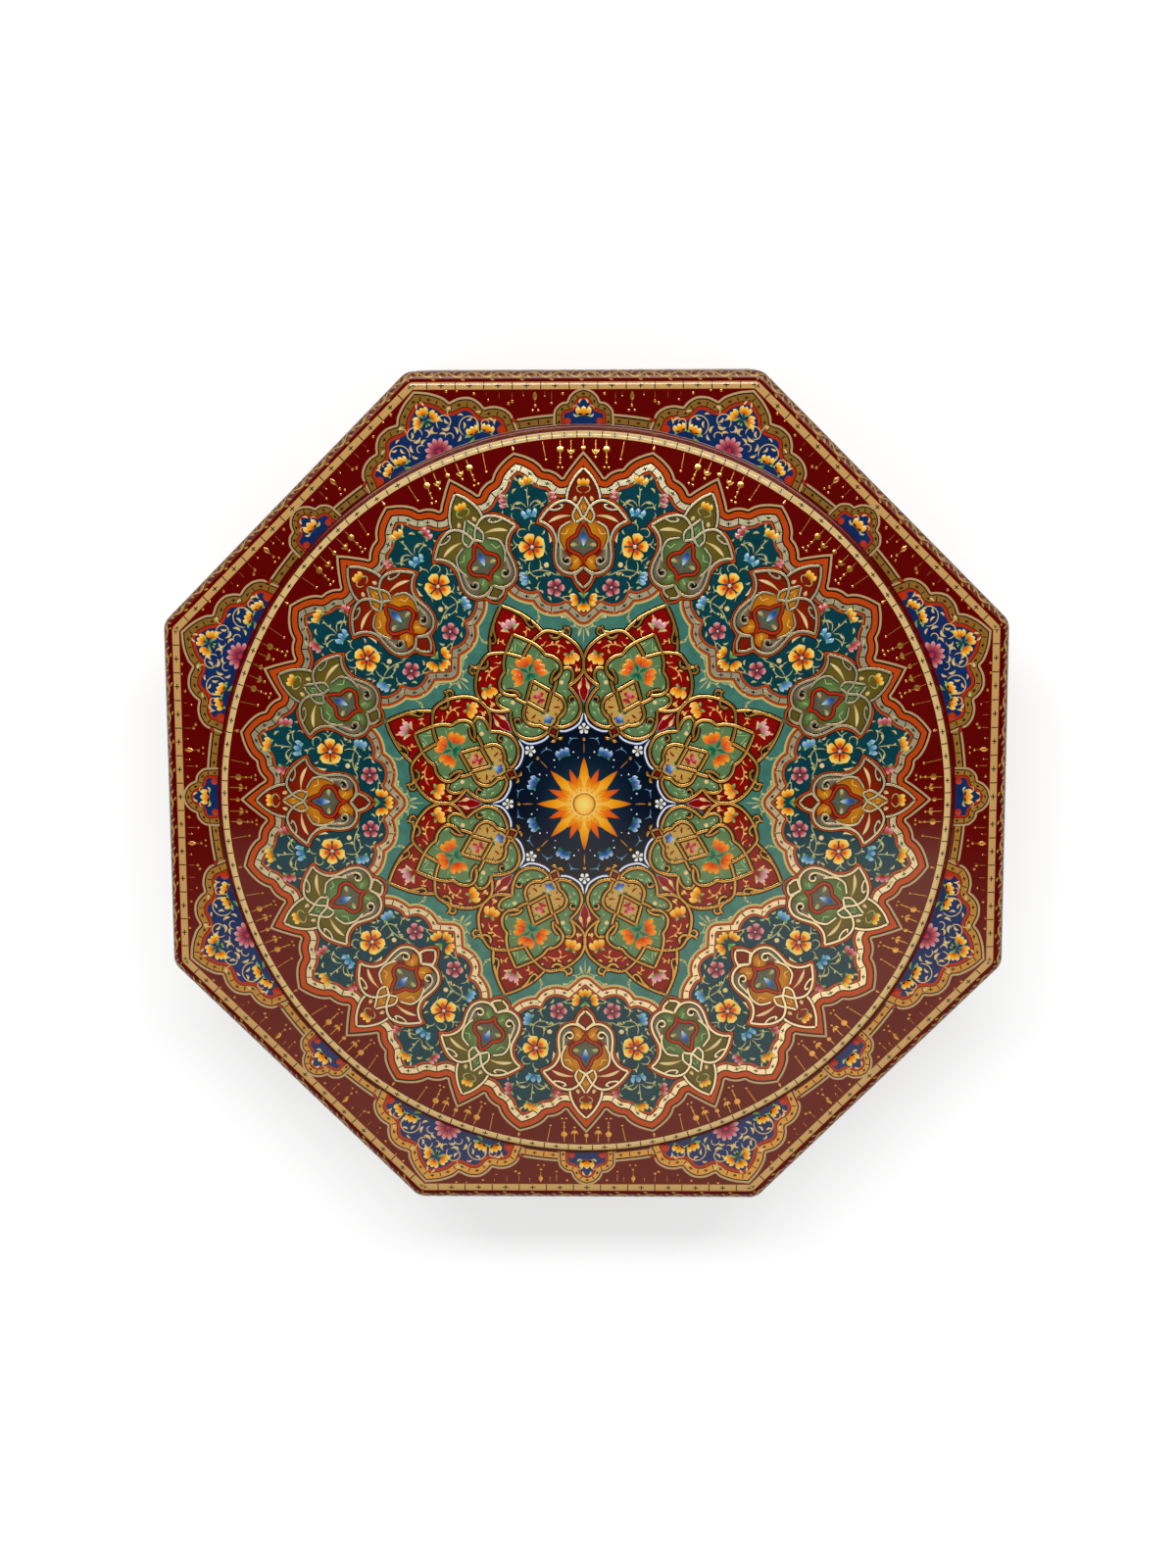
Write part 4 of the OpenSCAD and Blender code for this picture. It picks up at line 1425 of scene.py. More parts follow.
# %% Window
window = [fill(circle(30.0, 128), "night", 1, (0, 0), tones=(0.0, 1.0), widest=4.0)]
lay("window_ground", window, WHOLE, MEDALLION)
hem = chain([(-11.3, 28.2), (-9.5, 25.6), (-7, 24.6), (-4, 24.5), (-1.6, 25.4)])
hem_lines = pair(line(hem, 1.5, "navy", 4, ends=0), line(hem, 0.6, "white", 4.6, ends=0.3))
lay("window_hem", hem_lines, AT_CORNERS, MEDALLION)
rays = []
for length, width, turn, swatch in ((15.5, 3.3, 0, "sunny"), (12.5, 2.6, 22.5, "flame"),
                                    (9.5, 2.0, 11.25, "sunny"), (9.5, 2.0, -11.25, "sunny")):
    rays.append(petal(3.0 * unit(90 - turn), length * unit(90 - turn), width, swatch, 2,
                      fat=0.35, tones=(0.9, 0.1)))
rays += [line(np.linspace(16.6 * unit(90), 20.4 * unit(90), 6), 0.4, "gold", 2, ends=1.2),
         dot((0, 21.4), 0.6, "gold", 2)]
rays += blossom((0, 24.9), 1.9, 5, "white", 2.6, 90, 0.8, "sunny")
rays += [*flower(16.8 * unit(90 - 22.5), 90 - 22.5, 3.0, "blue", 2.6, 0.5, "emerald")]
rays += pair(
    *sprig((1.6, 21.6), 20, [(2.6, -50), (2.2, -80)], [(0.4, 1, 1.2)], "azure", 2.2, 0.26),
    dot((3.4, 17.2), 0.3, "white", 2.2), dot((1.9, 15.4), 0.2, "white", 2.2))
lay("window_rays", rays, AT_SIDES, MEDALLION)
heart = [dot((0, 0), 3.4, "sunny", 3.6, tone=0.75, sides=32)]
heart.append(line(circle(3.5, 48), 0.55, "gold", 4, closed=True))
lay("window_heart", heart, WHOLE, MEDALLION)

# %% [markdown]
# ## The border
# Round the medallion the lid's flat top is red. Blue cartouches stand in its eight
# corners and at the middle of each side, and a cream band with ticks follows the edge.
# On the rounded edge itself runs a scroll of gold leaves.

# %% Bands along the edge
SIDE_STOPS = np.concatenate([
    [-PITCH / 2], np.linspace(-STRAIGHT - CORNER_ARC / 3, -STRAIGHT, 3),
    np.linspace(-STRAIGHT, STRAIGHT, 25)[1:-1],
    np.linspace(STRAIGHT, STRAIGHT + CORNER_ARC / 3, 3), [PITCH / 2]])


def along_side(low, high, swatch, level):
    """A band that fills one side from corner to corner, between two levels of v."""
    stops = np.stack([SIDE_STOPS, np.full(len(SIDE_STOPS), high)], 1)
    return band(stops, stops * (1, 0) + (0, low), swatch, level, widest=0.5)


TICK_STEP, TICK_TALL = 4.63, 2.2


def tick_row(low, high, rim, level):
    """A straw-coloured band with a dark rim and ticks, from one corner to the next."""
    middle = np.linspace((-PITCH / 2, (low + high) / 2), (PITCH / 2, (low + high) / 2), 200)
    return [along_side(low - rim, high + rim, "umber_red", 0.9),
            along_side(low, high, "straw", 1.8),
            *marks(middle, TICK_STEP, TICK_TALL, level, cross=0.9)]


TICK_LOW, TICK_HIGH = 134.1, 136.5
tick_band = tick_row(TICK_LOW, TICK_HIGH, 0.2, 3.0)
tick_band.append(line(
    np.linspace((PITCH / 2, TICK_LOW), (PITCH / 2, TICK_HIGH), 7), 0.4,
    "black", 3.0, ends=0))
lay("lid_tick_band", tick_band, AT_SIDES, LID_EDGE)

WAVES = 12                                   # scroll waves on each side
WAVE = PITCH / WAVES


def scroll(middle, size):
    """One wave of a running stem with leaves in its hollows, round a middle height."""
    u = np.linspace(-WAVE / 2, WAVE / 2, 19)
    stem = np.stack([u, middle + size * np.sin(2 * np.pi * u / WAVE)], 1)
    parts = [line(stem, 0.6, "gilt", 1, ends=0, tones=(0.9, 0.9))]
    for side in (-1, 1):
        hollow = side * WAVE / 4
        root = np.array([hollow - 1.2, middle + side * size * 0.7])
        parts += [
            petal(root, (hollow + 1.5, middle - side * size * 0.9), 1.1, "gilt", 1,
                  bend=side * 0.25),
            petal(root, (hollow - 0.2, middle - side * size * 1.4), 0.8, "gilt", 1,
                  bend=-side * 0.2),
            petal((hollow + 1.0, middle + side * size), (hollow + 2.4, middle + side
                  * size * 1.9), 0.8, "gilt", 1, bend=side * 0.2)]
    return parts


EDGE_SCROLL = 139.8
lay("edge_scroll", scroll(EDGE_SCROLL, 1.35), around(8 * WAVES), LID_EDGE)

# %% Cartouches
HIDDEN = 8.0                                 # mm that a cartouche runs on under the medallion
REACH = 104                                  # degrees to which its bands are drawn


def folded_turn(samples):
    """Angles round a circle in degrees, whose second half runs back down."""
    turn = np.arange(samples) * 360 / samples
    return np.minimum(turn, 360 - turn)


def cartouche_radii(half, centre):
    """Radii, round a centre on the axis, of a half outline carried on below and mirrored."""
    half = np.vstack([half, [(half[-1, 0], centre - HIDDEN), (0, centre - HIDDEN)]])
    dense = even_steps(half, 0.15)
    angle = np.degrees(np.arctan2(dense[:, 0], dense[:, 1] - centre))
    return np.interp(folded_turn(480), angle, np.hypot(dense[:, 0], dense[:, 1] - centre))


def cartouche(half, centre, bands, ground_gap):
    """Bands inside a cusped outline, given as (start, end, swatch, level), and a ground."""
    radii = cartouche_radii(half, centre)
    pick = np.arange(-REACH * len(radii) // 360, REACH * len(radii) // 360 + 1)

    def path(gap):
        return ring_path(drawn_in(radii, gap))[pick] + (0, centre)

    parts = [band(path(a), path(b), swatch, level) for a, b, swatch, level in bands]
    inner = drawn_in(radii, ground_gap)[::2]
    ground = fill(ring_path(inner) + (0, centre), "navy", 1.6, (0, centre), widest=6)
    return parts, ground, path


corner_half = chain(
    [(0, 144.6), (4.5, 142.2), (8, 139.2), (9.35, 136.9)],
    [(9.35, 136.9), (13, 137.0), (16.5, 135.6), (18.5, 133), (19.2, 130.9)],
    [(19.2, 130.9), (22, 130.3), (24.8, 128.5), (26.5, 125.8), (26.6, 123.2)])
corner_bands, corner_ground, corner_path = cartouche(corner_half, 122.0, [
    (0.5, 4.6, "black", 1), (0, 0.75, "tan", 2), (1.15, 3.2, "gold", 2),
    (3.45, 4.45, "brick", 2)], 4.3)
side_half = chain([(0, 134.6), (2.5, 133.8), (4.5, 132.1), (5.5, 130.1)],
                  [(5.5, 130.1), (7.2, 129.8), (8.8, 128.5), (9.7, 127), (9.9, 124.6)])
side_bands, side_ground, side_path = cartouche(side_half, 122.6, [
    (0.5, 3.7, "black", 1), (0, 0.7, "tan", 2), (1.05, 2.6, "gold", 2),
    (2.8, 3.55, "brick", 2)], 3.4)
corner_marks = marks(corner_path(2.3)[16:-16], 2.75, 1.5, 3, cross=0.7)
side_marks = marks(side_path(1.85)[16:-16], 2.3, 1.2, 3, cross=0.6)
lay("corner_cartouche_bands", corner_bands + corner_marks, AT_CORNERS, LID_TOP)
lay("corner_cartouche_ground", [corner_ground], AT_CORNERS, LID_TOP, ultramarine)
lay("side_cartouche_bands", side_bands + side_marks, AT_SIDES, LID_TOP)
lay("side_cartouche_ground", [side_ground], AT_SIDES, LID_TOP, ultramarine)

# %% Flowers in the cartouches
corner_flowers = flower((0, 136.2), 90, 2.6, "sunny", 3.4, 0.5, "")
corner_flowers += pair(
    *flower((1.9, 134.3), 15, 2.6, "sunny", 3.2, 0.5, ""),
    petal((0.2, 134.9), (2.2, 136.5), 0.8, "leaf", 2.6, bend=0.2),
    petal((0.1, 134.4), (2.4, 132.7), 1.0, "leaf", 2.6, bend=0.15),
    petal((0.1, 134.2), (0.9, 132.3), 0.8, "leaf", 2.6, bend=-0.2))
corner_flowers += pair(
    *flower((12.9, 124.2), 92, 2.8, "sunny", 3.2, 0.5),
    *flower((16.8, 123.2), 50, 2.8, "sunny", 3.2, 0.5),
    petal((12.6, 123.8), (9.6, 124.2), 1.2, "leaf", 2.8, bend=-0.2),
    petal((12.6, 123.6), (10.2, 122.4), 1.0, "leaf", 2.8, bend=0.2),
    curl((5.5, 131.4), 2.8, 205, -300), curl((12.6, 127.2), 3.6, 215, -320, inner=0.62),
    curl((17.8, 126.0), 1.6, 200, -230), curl((2.0, 130.2), 1.5, 100, 190),
    curl((8.7, 133.8), 1.3, 220, -230), curl((5.2, 126.2), 1.7, 160, -220),
    *commas([(3.7, 130.2, 6.5, 129.5, -0.25), (5.2, 131.9, 4.5, 134.3),
             (6.9, 130.6, 5.9, 132.6, 0.25), (7.4, 134.9, 9.4, 134.9),
             (10.3, 127.2, 11.2, 129.2, -0.2), (14.4, 129.9, 12.4, 129.4, 0.25),
             (14.9, 127.8, 14.6, 125.8), (7.6, 129.0, 7.8, 126.4),
             (2.3, 128.6, 4.4, 127.6), (1.2, 131.6, 0.5, 129.4, -0.2),
             (8.6, 125.8, 7.0, 124.2), (18.6, 127.2, 20.3, 125.6),
             (15.9, 130.6, 17.6, 129.6), (10.2, 131.9, 11.9, 131.2),
             (20.2, 124.4, 21.4, 126.0), (0.4, 140.6, 1.2, 138.9, 0.15)]))
for turn in np.linspace(0, 180, 7):
    way = unit(turn)
    corner_flowers.append(petal(
        (0, 123.4) + 0.9 * way, (0, 123.4) + 4.7 * way, 1.6, "rose", 3,
        fat=0.66, blunt=0.55, tones=(0.1, 0.95)))
corner_flowers.append(dot((0, 123.5), 0.9, "carmine", 3.6, sides=10))
corner_flowers += pair(dot((21.6, 122.2), 1.5, "brick", 2.8, sides=14))
lay("corner_flowers", corner_flowers, AT_CORNERS, LID_TOP)
side_flowers = flower((0, 125.6), 90, 3.1, "sunny", 3)
side_flowers += pair(
    curl((2.7, 127.9), 1.2, 230, -250, width=0.3),
    *commas([(0.3, 131.0, 1.4, 129.5), (1.6, 125.4, 3.3, 126.2, -0.2)]),
    dot((5.2, 123.8), 1.2, "brick", 2.8, sides=12))
lay("side_flowers", side_flowers, AT_SIDES, LID_TOP)

# %% Band round the medallion's foot, drops on the red ground
foot_ring = [hoop(126.4, 123.0, "black", 0.6), hoop(125.3, 123.3, "gold", 0.9),
             hoop(126.5, 125.75, "tan", 0.9)]
lay("foot_ring", foot_ring, WHOLE, LID_TOP)
foot_arc = on_polar([(a, 124.3) for a in np.linspace(4.6, 10.4, 24)])
foot_marks = pair(
    *marks(foot_arc, 2.9, 1.6, 1.8, cross=0.7),
    *edged(chain([(23.6, 124.6), (22.4, 124.0), (21.4, 124.2)]), 0.8, "brick", 2.4, 0.25))
lay("foot_marks", foot_marks, AT_SIDES, LID_TOP)
drops = pair(
    petal((15.8, 133.4), (15.8, 130.4), 1.5, "gold", 1, fat=0.5, blunt=0.9),
    *[dot(at, r, "gold", 1) for at, r in (
        ((15.7, 128.8), 0.5), ((16.6, 127.3), 0.42), ((14.7, 127.3), 0.42),
        ((6.8, 132.6), 0.5), ((10.4, 129.6), 0.42), ((23.2, 130.2), 0.55),
        ((19.6, 132.2), 0.3), ((12.6, 131.9), 0.3))],
    *[line(np.linspace((u, v), (u, 133.4), 6), 0.2, "gold", 0.8, ends=1.2)
      for u, v in ((6.8, 133.0), (10.4, 130.2), (12.6, 132.2), (15.8, 129.2),
                   (19.6, 132.4), (23.2, 130.8), (27.4, 131.0), (31.6, 132.0))])
lay("border_drops", drops, AT_SIDES, LID_TOP)
corner_drops = pair(*[dot(at, r, "gold", 1) for at, r in (
    ((9.8, 140.4), 0.5), ((13.0, 139.2), 0.35), ((17.9, 136.2), 0.5), ((21.4, 132.6), 0.35),
    ((27.0, 129.0), 0.55), ((5.0, 143.6), 0.35))])
lay("corner_drops", corner_drops, AT_CORNERS, LID_TOP)

# %% [markdown]
# ## The walls
# The photograph looks down on the lid and shows no wall. Boxes of this kind carry the
# lid's ornament on round their sides, so the same bands, scroll, cartouches and flowers
# are used here, in a calmer layout: blue cartouches in the middle of each side, teal
# ones over the corners, and gold between them.

# %% Bands and scrolls on the walls
SKIRT_MIDDLE, TRAY_MIDDLE = 64.4, 27.6        # heights of the two rows of cartouches


def wall_ticks(low):
    """A row of ticks above a height."""
    return tick_row(low, low + TICK_TALL, 0.3, 2.6)


lay("wall_ticks_lid", wall_ticks(54.6), AT_SIDES, LID_WALL)
lay("wall_ticks_tray", wall_ticks(49.0) + wall_ticks(6.0), AT_SIDES, TRAY_WALL)
lay("wall_scroll_tray", scroll(44.4, 1.3) + scroll(11.9, 1.3), around(8 * WAVES), TRAY_WALL)

# %% Cartouches on the walls


def closed_radii(corner):
    """Radii of a closed outline given over its first quarter, mirrored both ways."""
    angle = np.degrees(np.arctan2(corner[:, 0], corner[:, 1]))
    folded = folded_turn(360)
    return np.interp(np.minimum(folded, 180 - folded), angle, np.hypot(*corner.T))


def wall_cartouche(name, corner, middle, places, surface, ground_paint, widest=6.0):
    """A closed cartouche at a height on the walls: a ground inside its three bands."""
    radii = closed_radii(corner)

    def path(gap):
        return ring_path(drawn_in(radii, gap)) + (0, middle)

    bands = [band(path(a), path(b), swatch, level, closed=True) for a, b, swatch, level in (
        (0.5, 3.9, "black", 1), (0, 0.7, "tan", 2), (1.1, 2.7, "gilt", 2),
        (2.95, 3.7, "brick", 2))]
    ring = np.vstack([path(1.9), path(1.9)[:1]])
    lay(f"{name}_bands", bands + marks(ring, 2.9, 1.3, 3, cross=0.6), places, surface)
    ground = fill(path(3.6)[::2], "navy", 1.6, (0, middle), widest=widest)
    lay(f"{name}_ground", [ground], places, surface, ground_paint)


tray_side = chain(
    [(0, 14.4), (4.8, 12.8), (8.2, 10.4)],
    [(8.2, 10.4), (13.4, 10.8), (18.4, 9.2), (20.8, 6.2)],
    [(20.8, 6.2), (25, 5.8), (29.4, 3.4), (32, 0)])
tray_corner = chain([(0, 13.0), (3.8, 11.2), (6.0, 8.8)],
                    [(6.0, 8.8), (10.2, 9.0), (13.6, 5.4), (15, 0)])
lid_side = chain([(0, 7.0), (3.8, 6.2), (6.2, 4.8)],
                 [(6.2, 4.8), (11, 5.1), (15.6, 3.2), (18.4, 0)])
CORNER_STEP = 0.8                    # rings close enough to follow the rounded corner
wall_cartouche("tray_side_cartouche", tray_side, TRAY_MIDDLE, AT_SIDES, TRAY_WALL, ultramarine)
wall_cartouche("tray_corner_cartouche", tray_corner, TRAY_MIDDLE, AT_CORNERS, TRAY_WALL,
               dark_teal, CORNER_STEP)
wall_cartouche("lid_side_cartouche", lid_side, SKIRT_MIDDLE, AT_SIDES, LID_WALL, ultramarine)

# %% Flowers on the walls


def curls_and_commas(curls, leaves):
    """Curls and small leaves above the motif's middle, each with its like below it."""
    parts = [curl((x, side * y), radius, 180 + side * (first - 180), side * sweep)
             for x, y, radius, first, sweep in curls for side in (1, -1)]
    return parts + commas([(x, side * y, u, side * v, side * 0.2)
                           for x, y, u, v in leaves for side in (1, -1)])


spray = blossom((0, 0), 4.4, 5, "sunny", 3, 90)
spray += flower((0, 5.4), 90, 3.2, "azure", 3, 0.6, "mint")
spray += flower((0, -5.4), -90, 3.2, "azure", 3, 0.6, "mint")
spray += pair(
    *flower((8.8, 3.2), 48, 3.4, "sunny", 3),
    *flower((8.8, -3.2), -48, 3.4, "rose", 3, 0.5),
    *blossom((15.6, 0), 3.0, 5, "rose", 3, 0, 0.95, "pink"),
    *flower((20.6, 0), 0, 3.2, "sunny", 3, 0.5),
    *curls_and_commas([(6.4, 2.6, 2.0, 200, -250), (13.2, 4.6, 1.8, 220, -260),
                       (19.2, 2.4, 1.3, 200, -230)],
                      [(2.6, 4.8, 4.4, 6.4), (11.4, 0.8, 12.6, 2.6), (6.8, 5.6, 5.2, 7.2),
                       (16.6, 3.6, 17.4, 5.2), (22.6, 1.6, 24.2, 1.2), (1.8, 8.6, 0.6, 10.0)]))
lay("tray_side_flowers", placed(spray, (0, TRAY_MIDDLE), 90), AT_SIDES, TRAY_WALL)
knot = flower((0, 0.8), 90, 3.2, "sunny", 3, 0.5) + flower((0, -0.8), -90, 3.0, "rose", 3, 0.5)
knot += pair(
    *flower((3.6, 0), 0, 3.0, "azure", 3, 0.5, "mint"),
    *curls_and_commas([(4.2, 3.2, 1.5, 220, -250)], [(1.6, 4.8, 0.6, 6.6), (7.2, 1.4, 8.8, 0.6)]))
lay("tray_corner_flowers", placed(knot, (0, TRAY_MIDDLE), 90), AT_CORNERS, TRAY_WALL)
bud_row = blossom((0, 0), 2.7, 5, "sunny", 3, 90)
bud_row += pair(
    *flower((4.8, 0), 0, 2.8, "rose", 3, 0.5),
    *flower((10.0, 0), 0, 2.6, "sunny", 3, 0.5),
    curl((4.0, 2.0), 1.0, 200, -230, width=0.28),
    curl((9.0, -1.4), 1.0, 160, 230, width=0.28),
    *commas([(6.4, -1.4, 8.0, -2.2), (6.4, 1.4, 8.4, 2.0, -0.2)]))
lay("lid_side_flowers", placed(bud_row, (0, SKIRT_MIDDLE), 90), AT_SIDES, LID_WALL)

# %% Gold on the walls' red ground


def floret(at, size):
    """Four petals and a drop above and below, in gold."""
    parts = [petal((0, 0.25), (0, 1), 0.5, "gold", 1), petal((0, -0.25), (0, -1), 0.5, "gold", 1)]
    parts += pair(petal((0.25, 0), (1, 0), 0.5, "gold", 1))
    parts += [dot((0, y), 0.16, "gold", 1) for y in (1.5, -1.5)]
    return placed(parts, at, 90, size)


skirt_gold = pair(*[part for i in range(4) for part in
                    floret((24.4 + 9.2 * i, SKIRT_MIDDLE), 2.6 if i % 2 else 1.8)])
lay("skirt_gold", skirt_gold, AT_SIDES, LID_WALL)
tray_gold = pair(*floret((36.2, TRAY_MIDDLE), 3.0), *[
    part for u, rise, size in ((24.8, 10.2, 1.7), (47.2, 10, 1.7), (36.2, 9.6, 1.2))
    for side in (1, -1) for part in floret((u, TRAY_MIDDLE + side * rise), size)])
lay("tray_gold", tray_gold, AT_SIDES, TRAY_WALL)

# %% [markdown]
# ## Inside and below
# The collar is card, lacquered black on its upper edge. The linings are cards covered
# with cotton velvet, whose edges are softened by the cloth that turns over them. The
# box stands on felt. All three finishes are guesses from how such boxes are made.

# %% Materials of the linings
collar_lacquer = varied_paint("black_lacquered_card", "#0C0908", "#1A1411", 14.0)


def cotton_velvet():
    """Upright pile: matt and dark head on, with a pale sheen at a slant."""
    material, tree, shader = new_material(
        "cotton_velvet", Roughness=0.95, Sheen_Weight=0.55, Sheen_Roughness=0.4,
        Sheen_Tint=rgba("#D8707C"), Specular_IOR_Level=0.2)
    # fine fibre mottling times large patches; the large patches are painted sheen and shade,
    # lighter and darker where brushed pile would catch the light
    fibre_and_sheen_patches = add_node(tree, "ShaderNodeMath", {"operation": "MULTIPLY"}, {
        0: noise(tree, 16.0, 2.0), 1: noise(tree, 0.5, 2.0)})
    painted_sheen_tone = add_node(tree, "ShaderNodeMapRange", inputs={
        "Value": fibre_and_sheen_patches.outputs[0], "From Min": 0.1, "From Max": 0.45})
    tone = add_node(tree, "ShaderNodeMix", {"data_type": "RGBA"}, {
        0: painted_sheen_tone.outputs[0], 6: rgba("#4C0911"), 7: rgba("#861B28")})
    tree.links.new(tone.outputs[2], shader.inputs["Base Color"])
    brush_bump(tree, shader, 0.45, 0.12)
    return material


def wool_felt():
    """Matted fibres: two near greens mixed at a fibre's scale, with a soft tufted bump."""
    material, tree, shader = new_material(
        "wool_felt", Roughness=0.97, Sheen_Weight=0.2,
        Specular_IOR_Level=0.15)
    tone = add_node(tree, "ShaderNodeMix", {"data_type": "RGBA"}, {
        0: noise(tree, 1.1, 6.0), 6: rgba("#20382A"), 7: rgba("#41604C")})
    tree.links.new(tone.outputs[2], shader.inputs["Base Color"])
    brush_bump(tree, shader, 0.7, 0.25)
    return material


velvet, felt = cotton_velvet(), wool_felt()

# %% Collar
collar_low, collar_high = [corner[2] for corner in node_box("base_collar")]
COLLAR_IN = SHELL_WALL + COLLAR_T                 # inset of the collar's inner face
collar_section = np.vstack([
    [[COLLAR_IN, collar_high], [SHELL_WALL + 1.6, collar_high]],
    quarter(SHELL_WALL + COLLAR_R, collar_high - COLLAR_R, -COLLAR_R, -90, 5),
    [[SHELL_WALL, collar_low], [COLLAR_IN, collar_low]]])
collar_rings = octagon_rings(collar_section)
collar = make_mesh("collar_card", collar_rings.reshape(-1, 3),
                   [grid_faces(*collar_rings.shape[:2], ring=True, tube=True)], collar_lacquer)
stand_in(collar, "base_collar", "base")
print("collar from", collar_low, "to", collar_high)

# %% Lining cards
CLOTH_R = 0.45                                    # radius of a covered card's edges


def octagon_card(name, body):
    """A covered octagonal card in an imported one's place, with its edges rounded."""
    low, high = node_box(name)
    inset = HALF - high[0]
    section = np.vstack([
        [[NEAR_POLE, high[2]], [MIDWAY, high[2]]],
        quarter(inset + CLOTH_R, high[2] - CLOTH_R, -CLOTH_R, -90, 4),
        quarter(inset + CLOTH_R, low[2] + CLOTH_R, -CLOTH_R, 0, 4),
        [[MIDWAY, low[2]], [NEAR_POLE, low[2]]]])
    card = make_mesh(name + "_velvet", *cup_surface(octagon_rings(section)), velvet)
    stand_in(card, name, body)


def rounded_rectangle(half, low, high, radius):
    """Across and height of a rectangle with rounded corners, anticlockwise."""
    corners = [(half - radius, high - radius, 0), (radius - half, high - radius, 90),
               (radius - half, low + radius, 180), (half - radius, low + radius, 270)]
    return np.vstack([quarter(x, z, radius, turn, 4) for x, z, turn in corners])


def wall_card(number):
    """A covered card on one side: rings from its back, round its front edge, to its front."""
    node = f"wall_lining_{number + 1}"
    low, high = node_box("wall_lining_1")
    back, front = high[0], low[0]
    rounding = quarter(CLOTH_R, front + CLOTH_R, -CLOTH_R, 0, 4)
    rings = []
    for shrink, depth in [(0, back), *rounding]:
        half = high[1] - (back - depth) * np.tan(np.pi / SIDES) - shrink
        across, height = rounded_rectangle(half, low[2] + shrink, high[2] - shrink, 0.6).T
        rings.append(np.stack([np.full(len(across), depth), across, height], 1))
    points, faces = cup_surface(np.array(rings))
    turn = number * 2 * np.pi / SIDES
    spin = np.array([[np.cos(turn), np.sin(turn), 0], [-np.sin(turn), np.cos(turn), 0], [0, 0, 1]])
    card = make_mesh(f"{node}_velvet", points @ spin, faces, velvet)
    stand_in(card, node, "base")


octagon_card("floor_lining", "base")
octagon_card("lid_lining", "lid")
for number in range(SIDES):
    wall_card(number)
bpy.data.objects["base_felt"].material_slots[0].material = felt
print("covered cards", SIDES + 2)

# %% [markdown]
# ## The light
# Matt surfaces are lit evenly from all sides, and one long lamp high behind the box
# gives the floor its shadow. Varnish and metal mirror a room instead, as they do in the
# photograph. The room is dark, with a bright ceiling over its front part, whose straight
# edge lies across the lid as the edge of a pale veil. A low window far behind draws the
# bright line along the far edges. The camera itself sees plain white.

# %% World
DAYLIGHT = 0.53                    # strength of the even light on matt surfaces
ROOM_COLOUR = rgba("#FFE9CB")
WHITE = rgba("#FFFFFF")
scene = bpy.context.scene
world = bpy.data.worlds.new("studio")
world.use_nodes = True
scene.world = world
tree = world.node_tree
tree.nodes.clear()
path_kind = add_node(tree, "ShaderNodeLightPath")
direction = add_node(tree, "ShaderNodeTexCoord").outputs["Generated"]
heading = add_node(tree, "ShaderNodeSeparateXYZ", inputs={0: direction}).outputs


def light_of(colour, strength):
    return add_node(tree, "ShaderNodeBackground", inputs={
        "Color": colour, "Strength": strength}).outputs[0]


def ramp(tree, socket, start, end, low, high):
    """A smooth step between two values as the socket goes from start to end."""
    return add_node(tree, "ShaderNodeMapRange", {"interpolation_type": "SMOOTHSTEP"}, {
        "Value": socket, "From Min": start, "From Max": end, "To Min": low,
        "To Max": high}).outputs[0]


def combined(tree, operation, first, second):
    """Two numbers multiplied or added, or the larger of them."""
    return add_node(tree, "ShaderNodeMath", {"operation": operation},
                    {0: first, 1: second}).outputs[0]


def mixed_light(share, first, second):
    return add_node(tree, "ShaderNodeMixShader", inputs={
        0: share, 1: first, 2: second}).outputs[0]


# A ray's Y is -1 straight to the front and 1 straight back, and its Z is 1 straight up.
ceiling = combined(tree, "MULTIPLY", ramp(tree, heading["Y"], -0.17, -0.26, 0.04, 1.12),
                   ramp(tree, heading["X"], -0.6, 0.6, 0.66, 1.32))
ceiling = combined(tree, "MULTIPLY", ceiling, ramp(tree, heading["Z"], 0.45, 0.8, 0.15, 1.0))
far_window = combined(
    tree, "MULTIPLY", ramp(tree, heading["Y"], 0.5, 0.8, 0.0, 6.0),
    ramp(tree, heading["Z"], 0.42, 0.3, 0.0, 1.0))
mirrored_room = light_of(ROOM_COLOUR, combined(tree, "ADD", ceiling, far_window))
matt_or_gloss = mixed_light(
    path_kind.outputs["Is Glossy Ray"], light_of(WHITE, DAYLIGHT),
    mirrored_room)
or_camera = mixed_light(path_kind.outputs["Is Camera Ray"], matt_or_gloss, light_of(WHITE, 1.0))
add_node(tree, "ShaderNodeOutputWorld", inputs={"Surface": or_camera})
print("world nodes", len(tree.nodes))

# %% Lamp


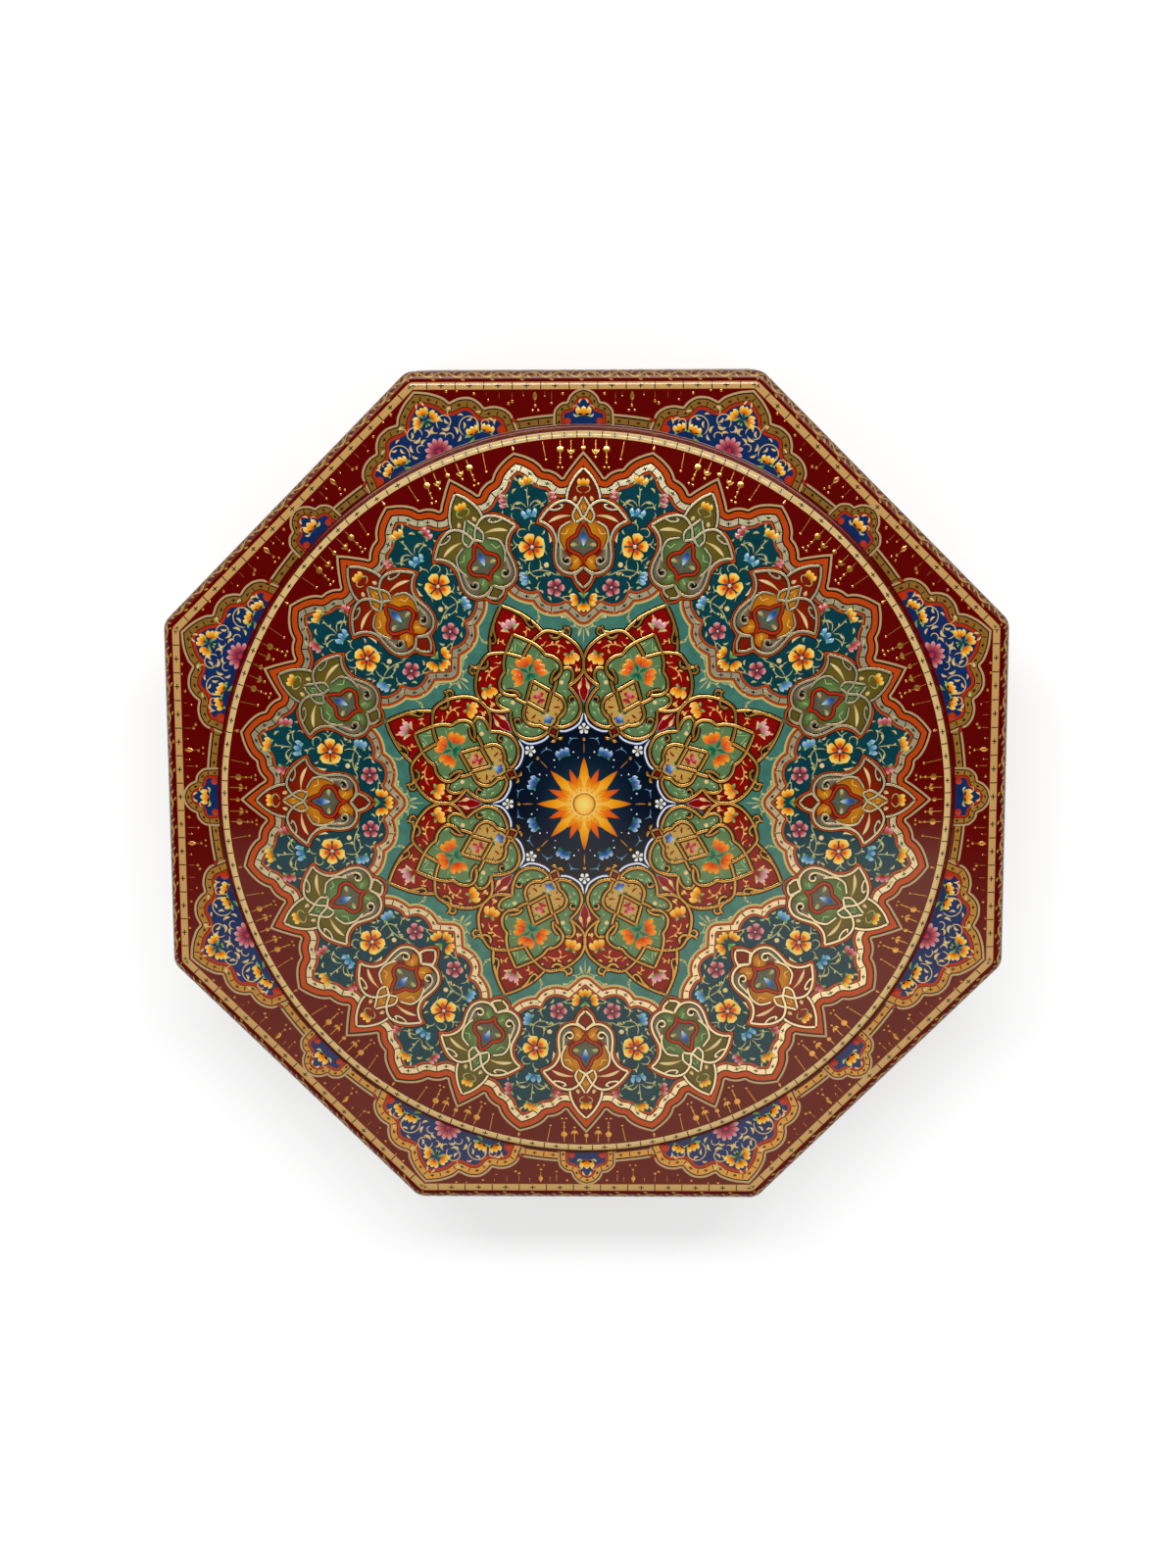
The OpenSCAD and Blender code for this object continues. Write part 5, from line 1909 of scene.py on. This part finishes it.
def add_area(name, place, target, size, power):
    """A rectangular lamp, placed in millimetres and turned to its target."""
    lamp = bpy.data.lights.new(name, "AREA")
    lamp.shape = "RECTANGLE"
    lamp.size, lamp.size_y = size[0] * MM, size[1] * MM
    lamp.energy = power
    holder = bpy.data.objects.new(name, lamp)
    away = Vector(target) - Vector(place)
    holder.matrix_world = (Matrix.Translation(Vector(place) * MM)
                           @ away.to_track_quat("-Z", "Y").to_matrix().to_4x4())
    scene.collection.objects.link(holder)
    return holder


key = add_area("key", place=(0, 1300, 2450), target=(0, 0, 80), size=(2000, 400), power=38)
print("lamp at", key.matrix_world.translation)

# %% [markdown]
# ## The floor
# The floor is a large sheet of card. To the camera it glows, more and more with the
# distance, so that it turns white before its far edge while the box's shadow stays. The
# light that it throws on the box is a plain grey card's, and the varnish mirrors a
# paler card, so that the walls keep their colours.

# %% Floor
FLOOR_HALF = 3000.0
CARD, PALE_CARD = rgba("#9A9A9A"), rgba("#C8C8C8")
NEAR, FAR = 0.5, 1.5               # metres between which the glow grows
NEAR_GLOW, FAR_GLOW = 0.54, 0.9
white_card, tree, shader = new_material(
    "white_card", Roughness=1.0, Specular_IOR_Level=0.0, Emission_Color=WHITE)
ray = add_node(tree, "ShaderNodeLightPath").outputs
seen = combined(tree, "MAXIMUM", ray["Is Camera Ray"], ray["Is Glossy Ray"])
card_tone = add_node(tree, "ShaderNodeMix", {"data_type": "RGBA"}, {
    0: seen, 6: CARD, 7: PALE_CARD})
place = add_node(tree, "ShaderNodeTexCoord").outputs["Object"]
distance = add_node(tree, "ShaderNodeVectorMath", {"operation": "LENGTH"}, {0: place})
glow = ramp(tree, distance.outputs["Value"], NEAR, FAR, NEAR_GLOW, FAR_GLOW)
tree.links.new(card_tone.outputs[2], shader.inputs["Base Color"])
tree.links.new(combined(tree, "MULTIPLY", ray["Is Camera Ray"], glow),
               shader.inputs["Emission Strength"])
floor_corners = np.array([[-1, -1, 0], [1, -1, 0], [1, 1, 0], [-1, 1, 0]]) * FLOOR_HALF
floor = make_mesh("floor", floor_corners, [np.array([[0, 1, 2, 3]])], white_card)
print("floor from", -FLOOR_HALF, "to", FLOOR_HALF)
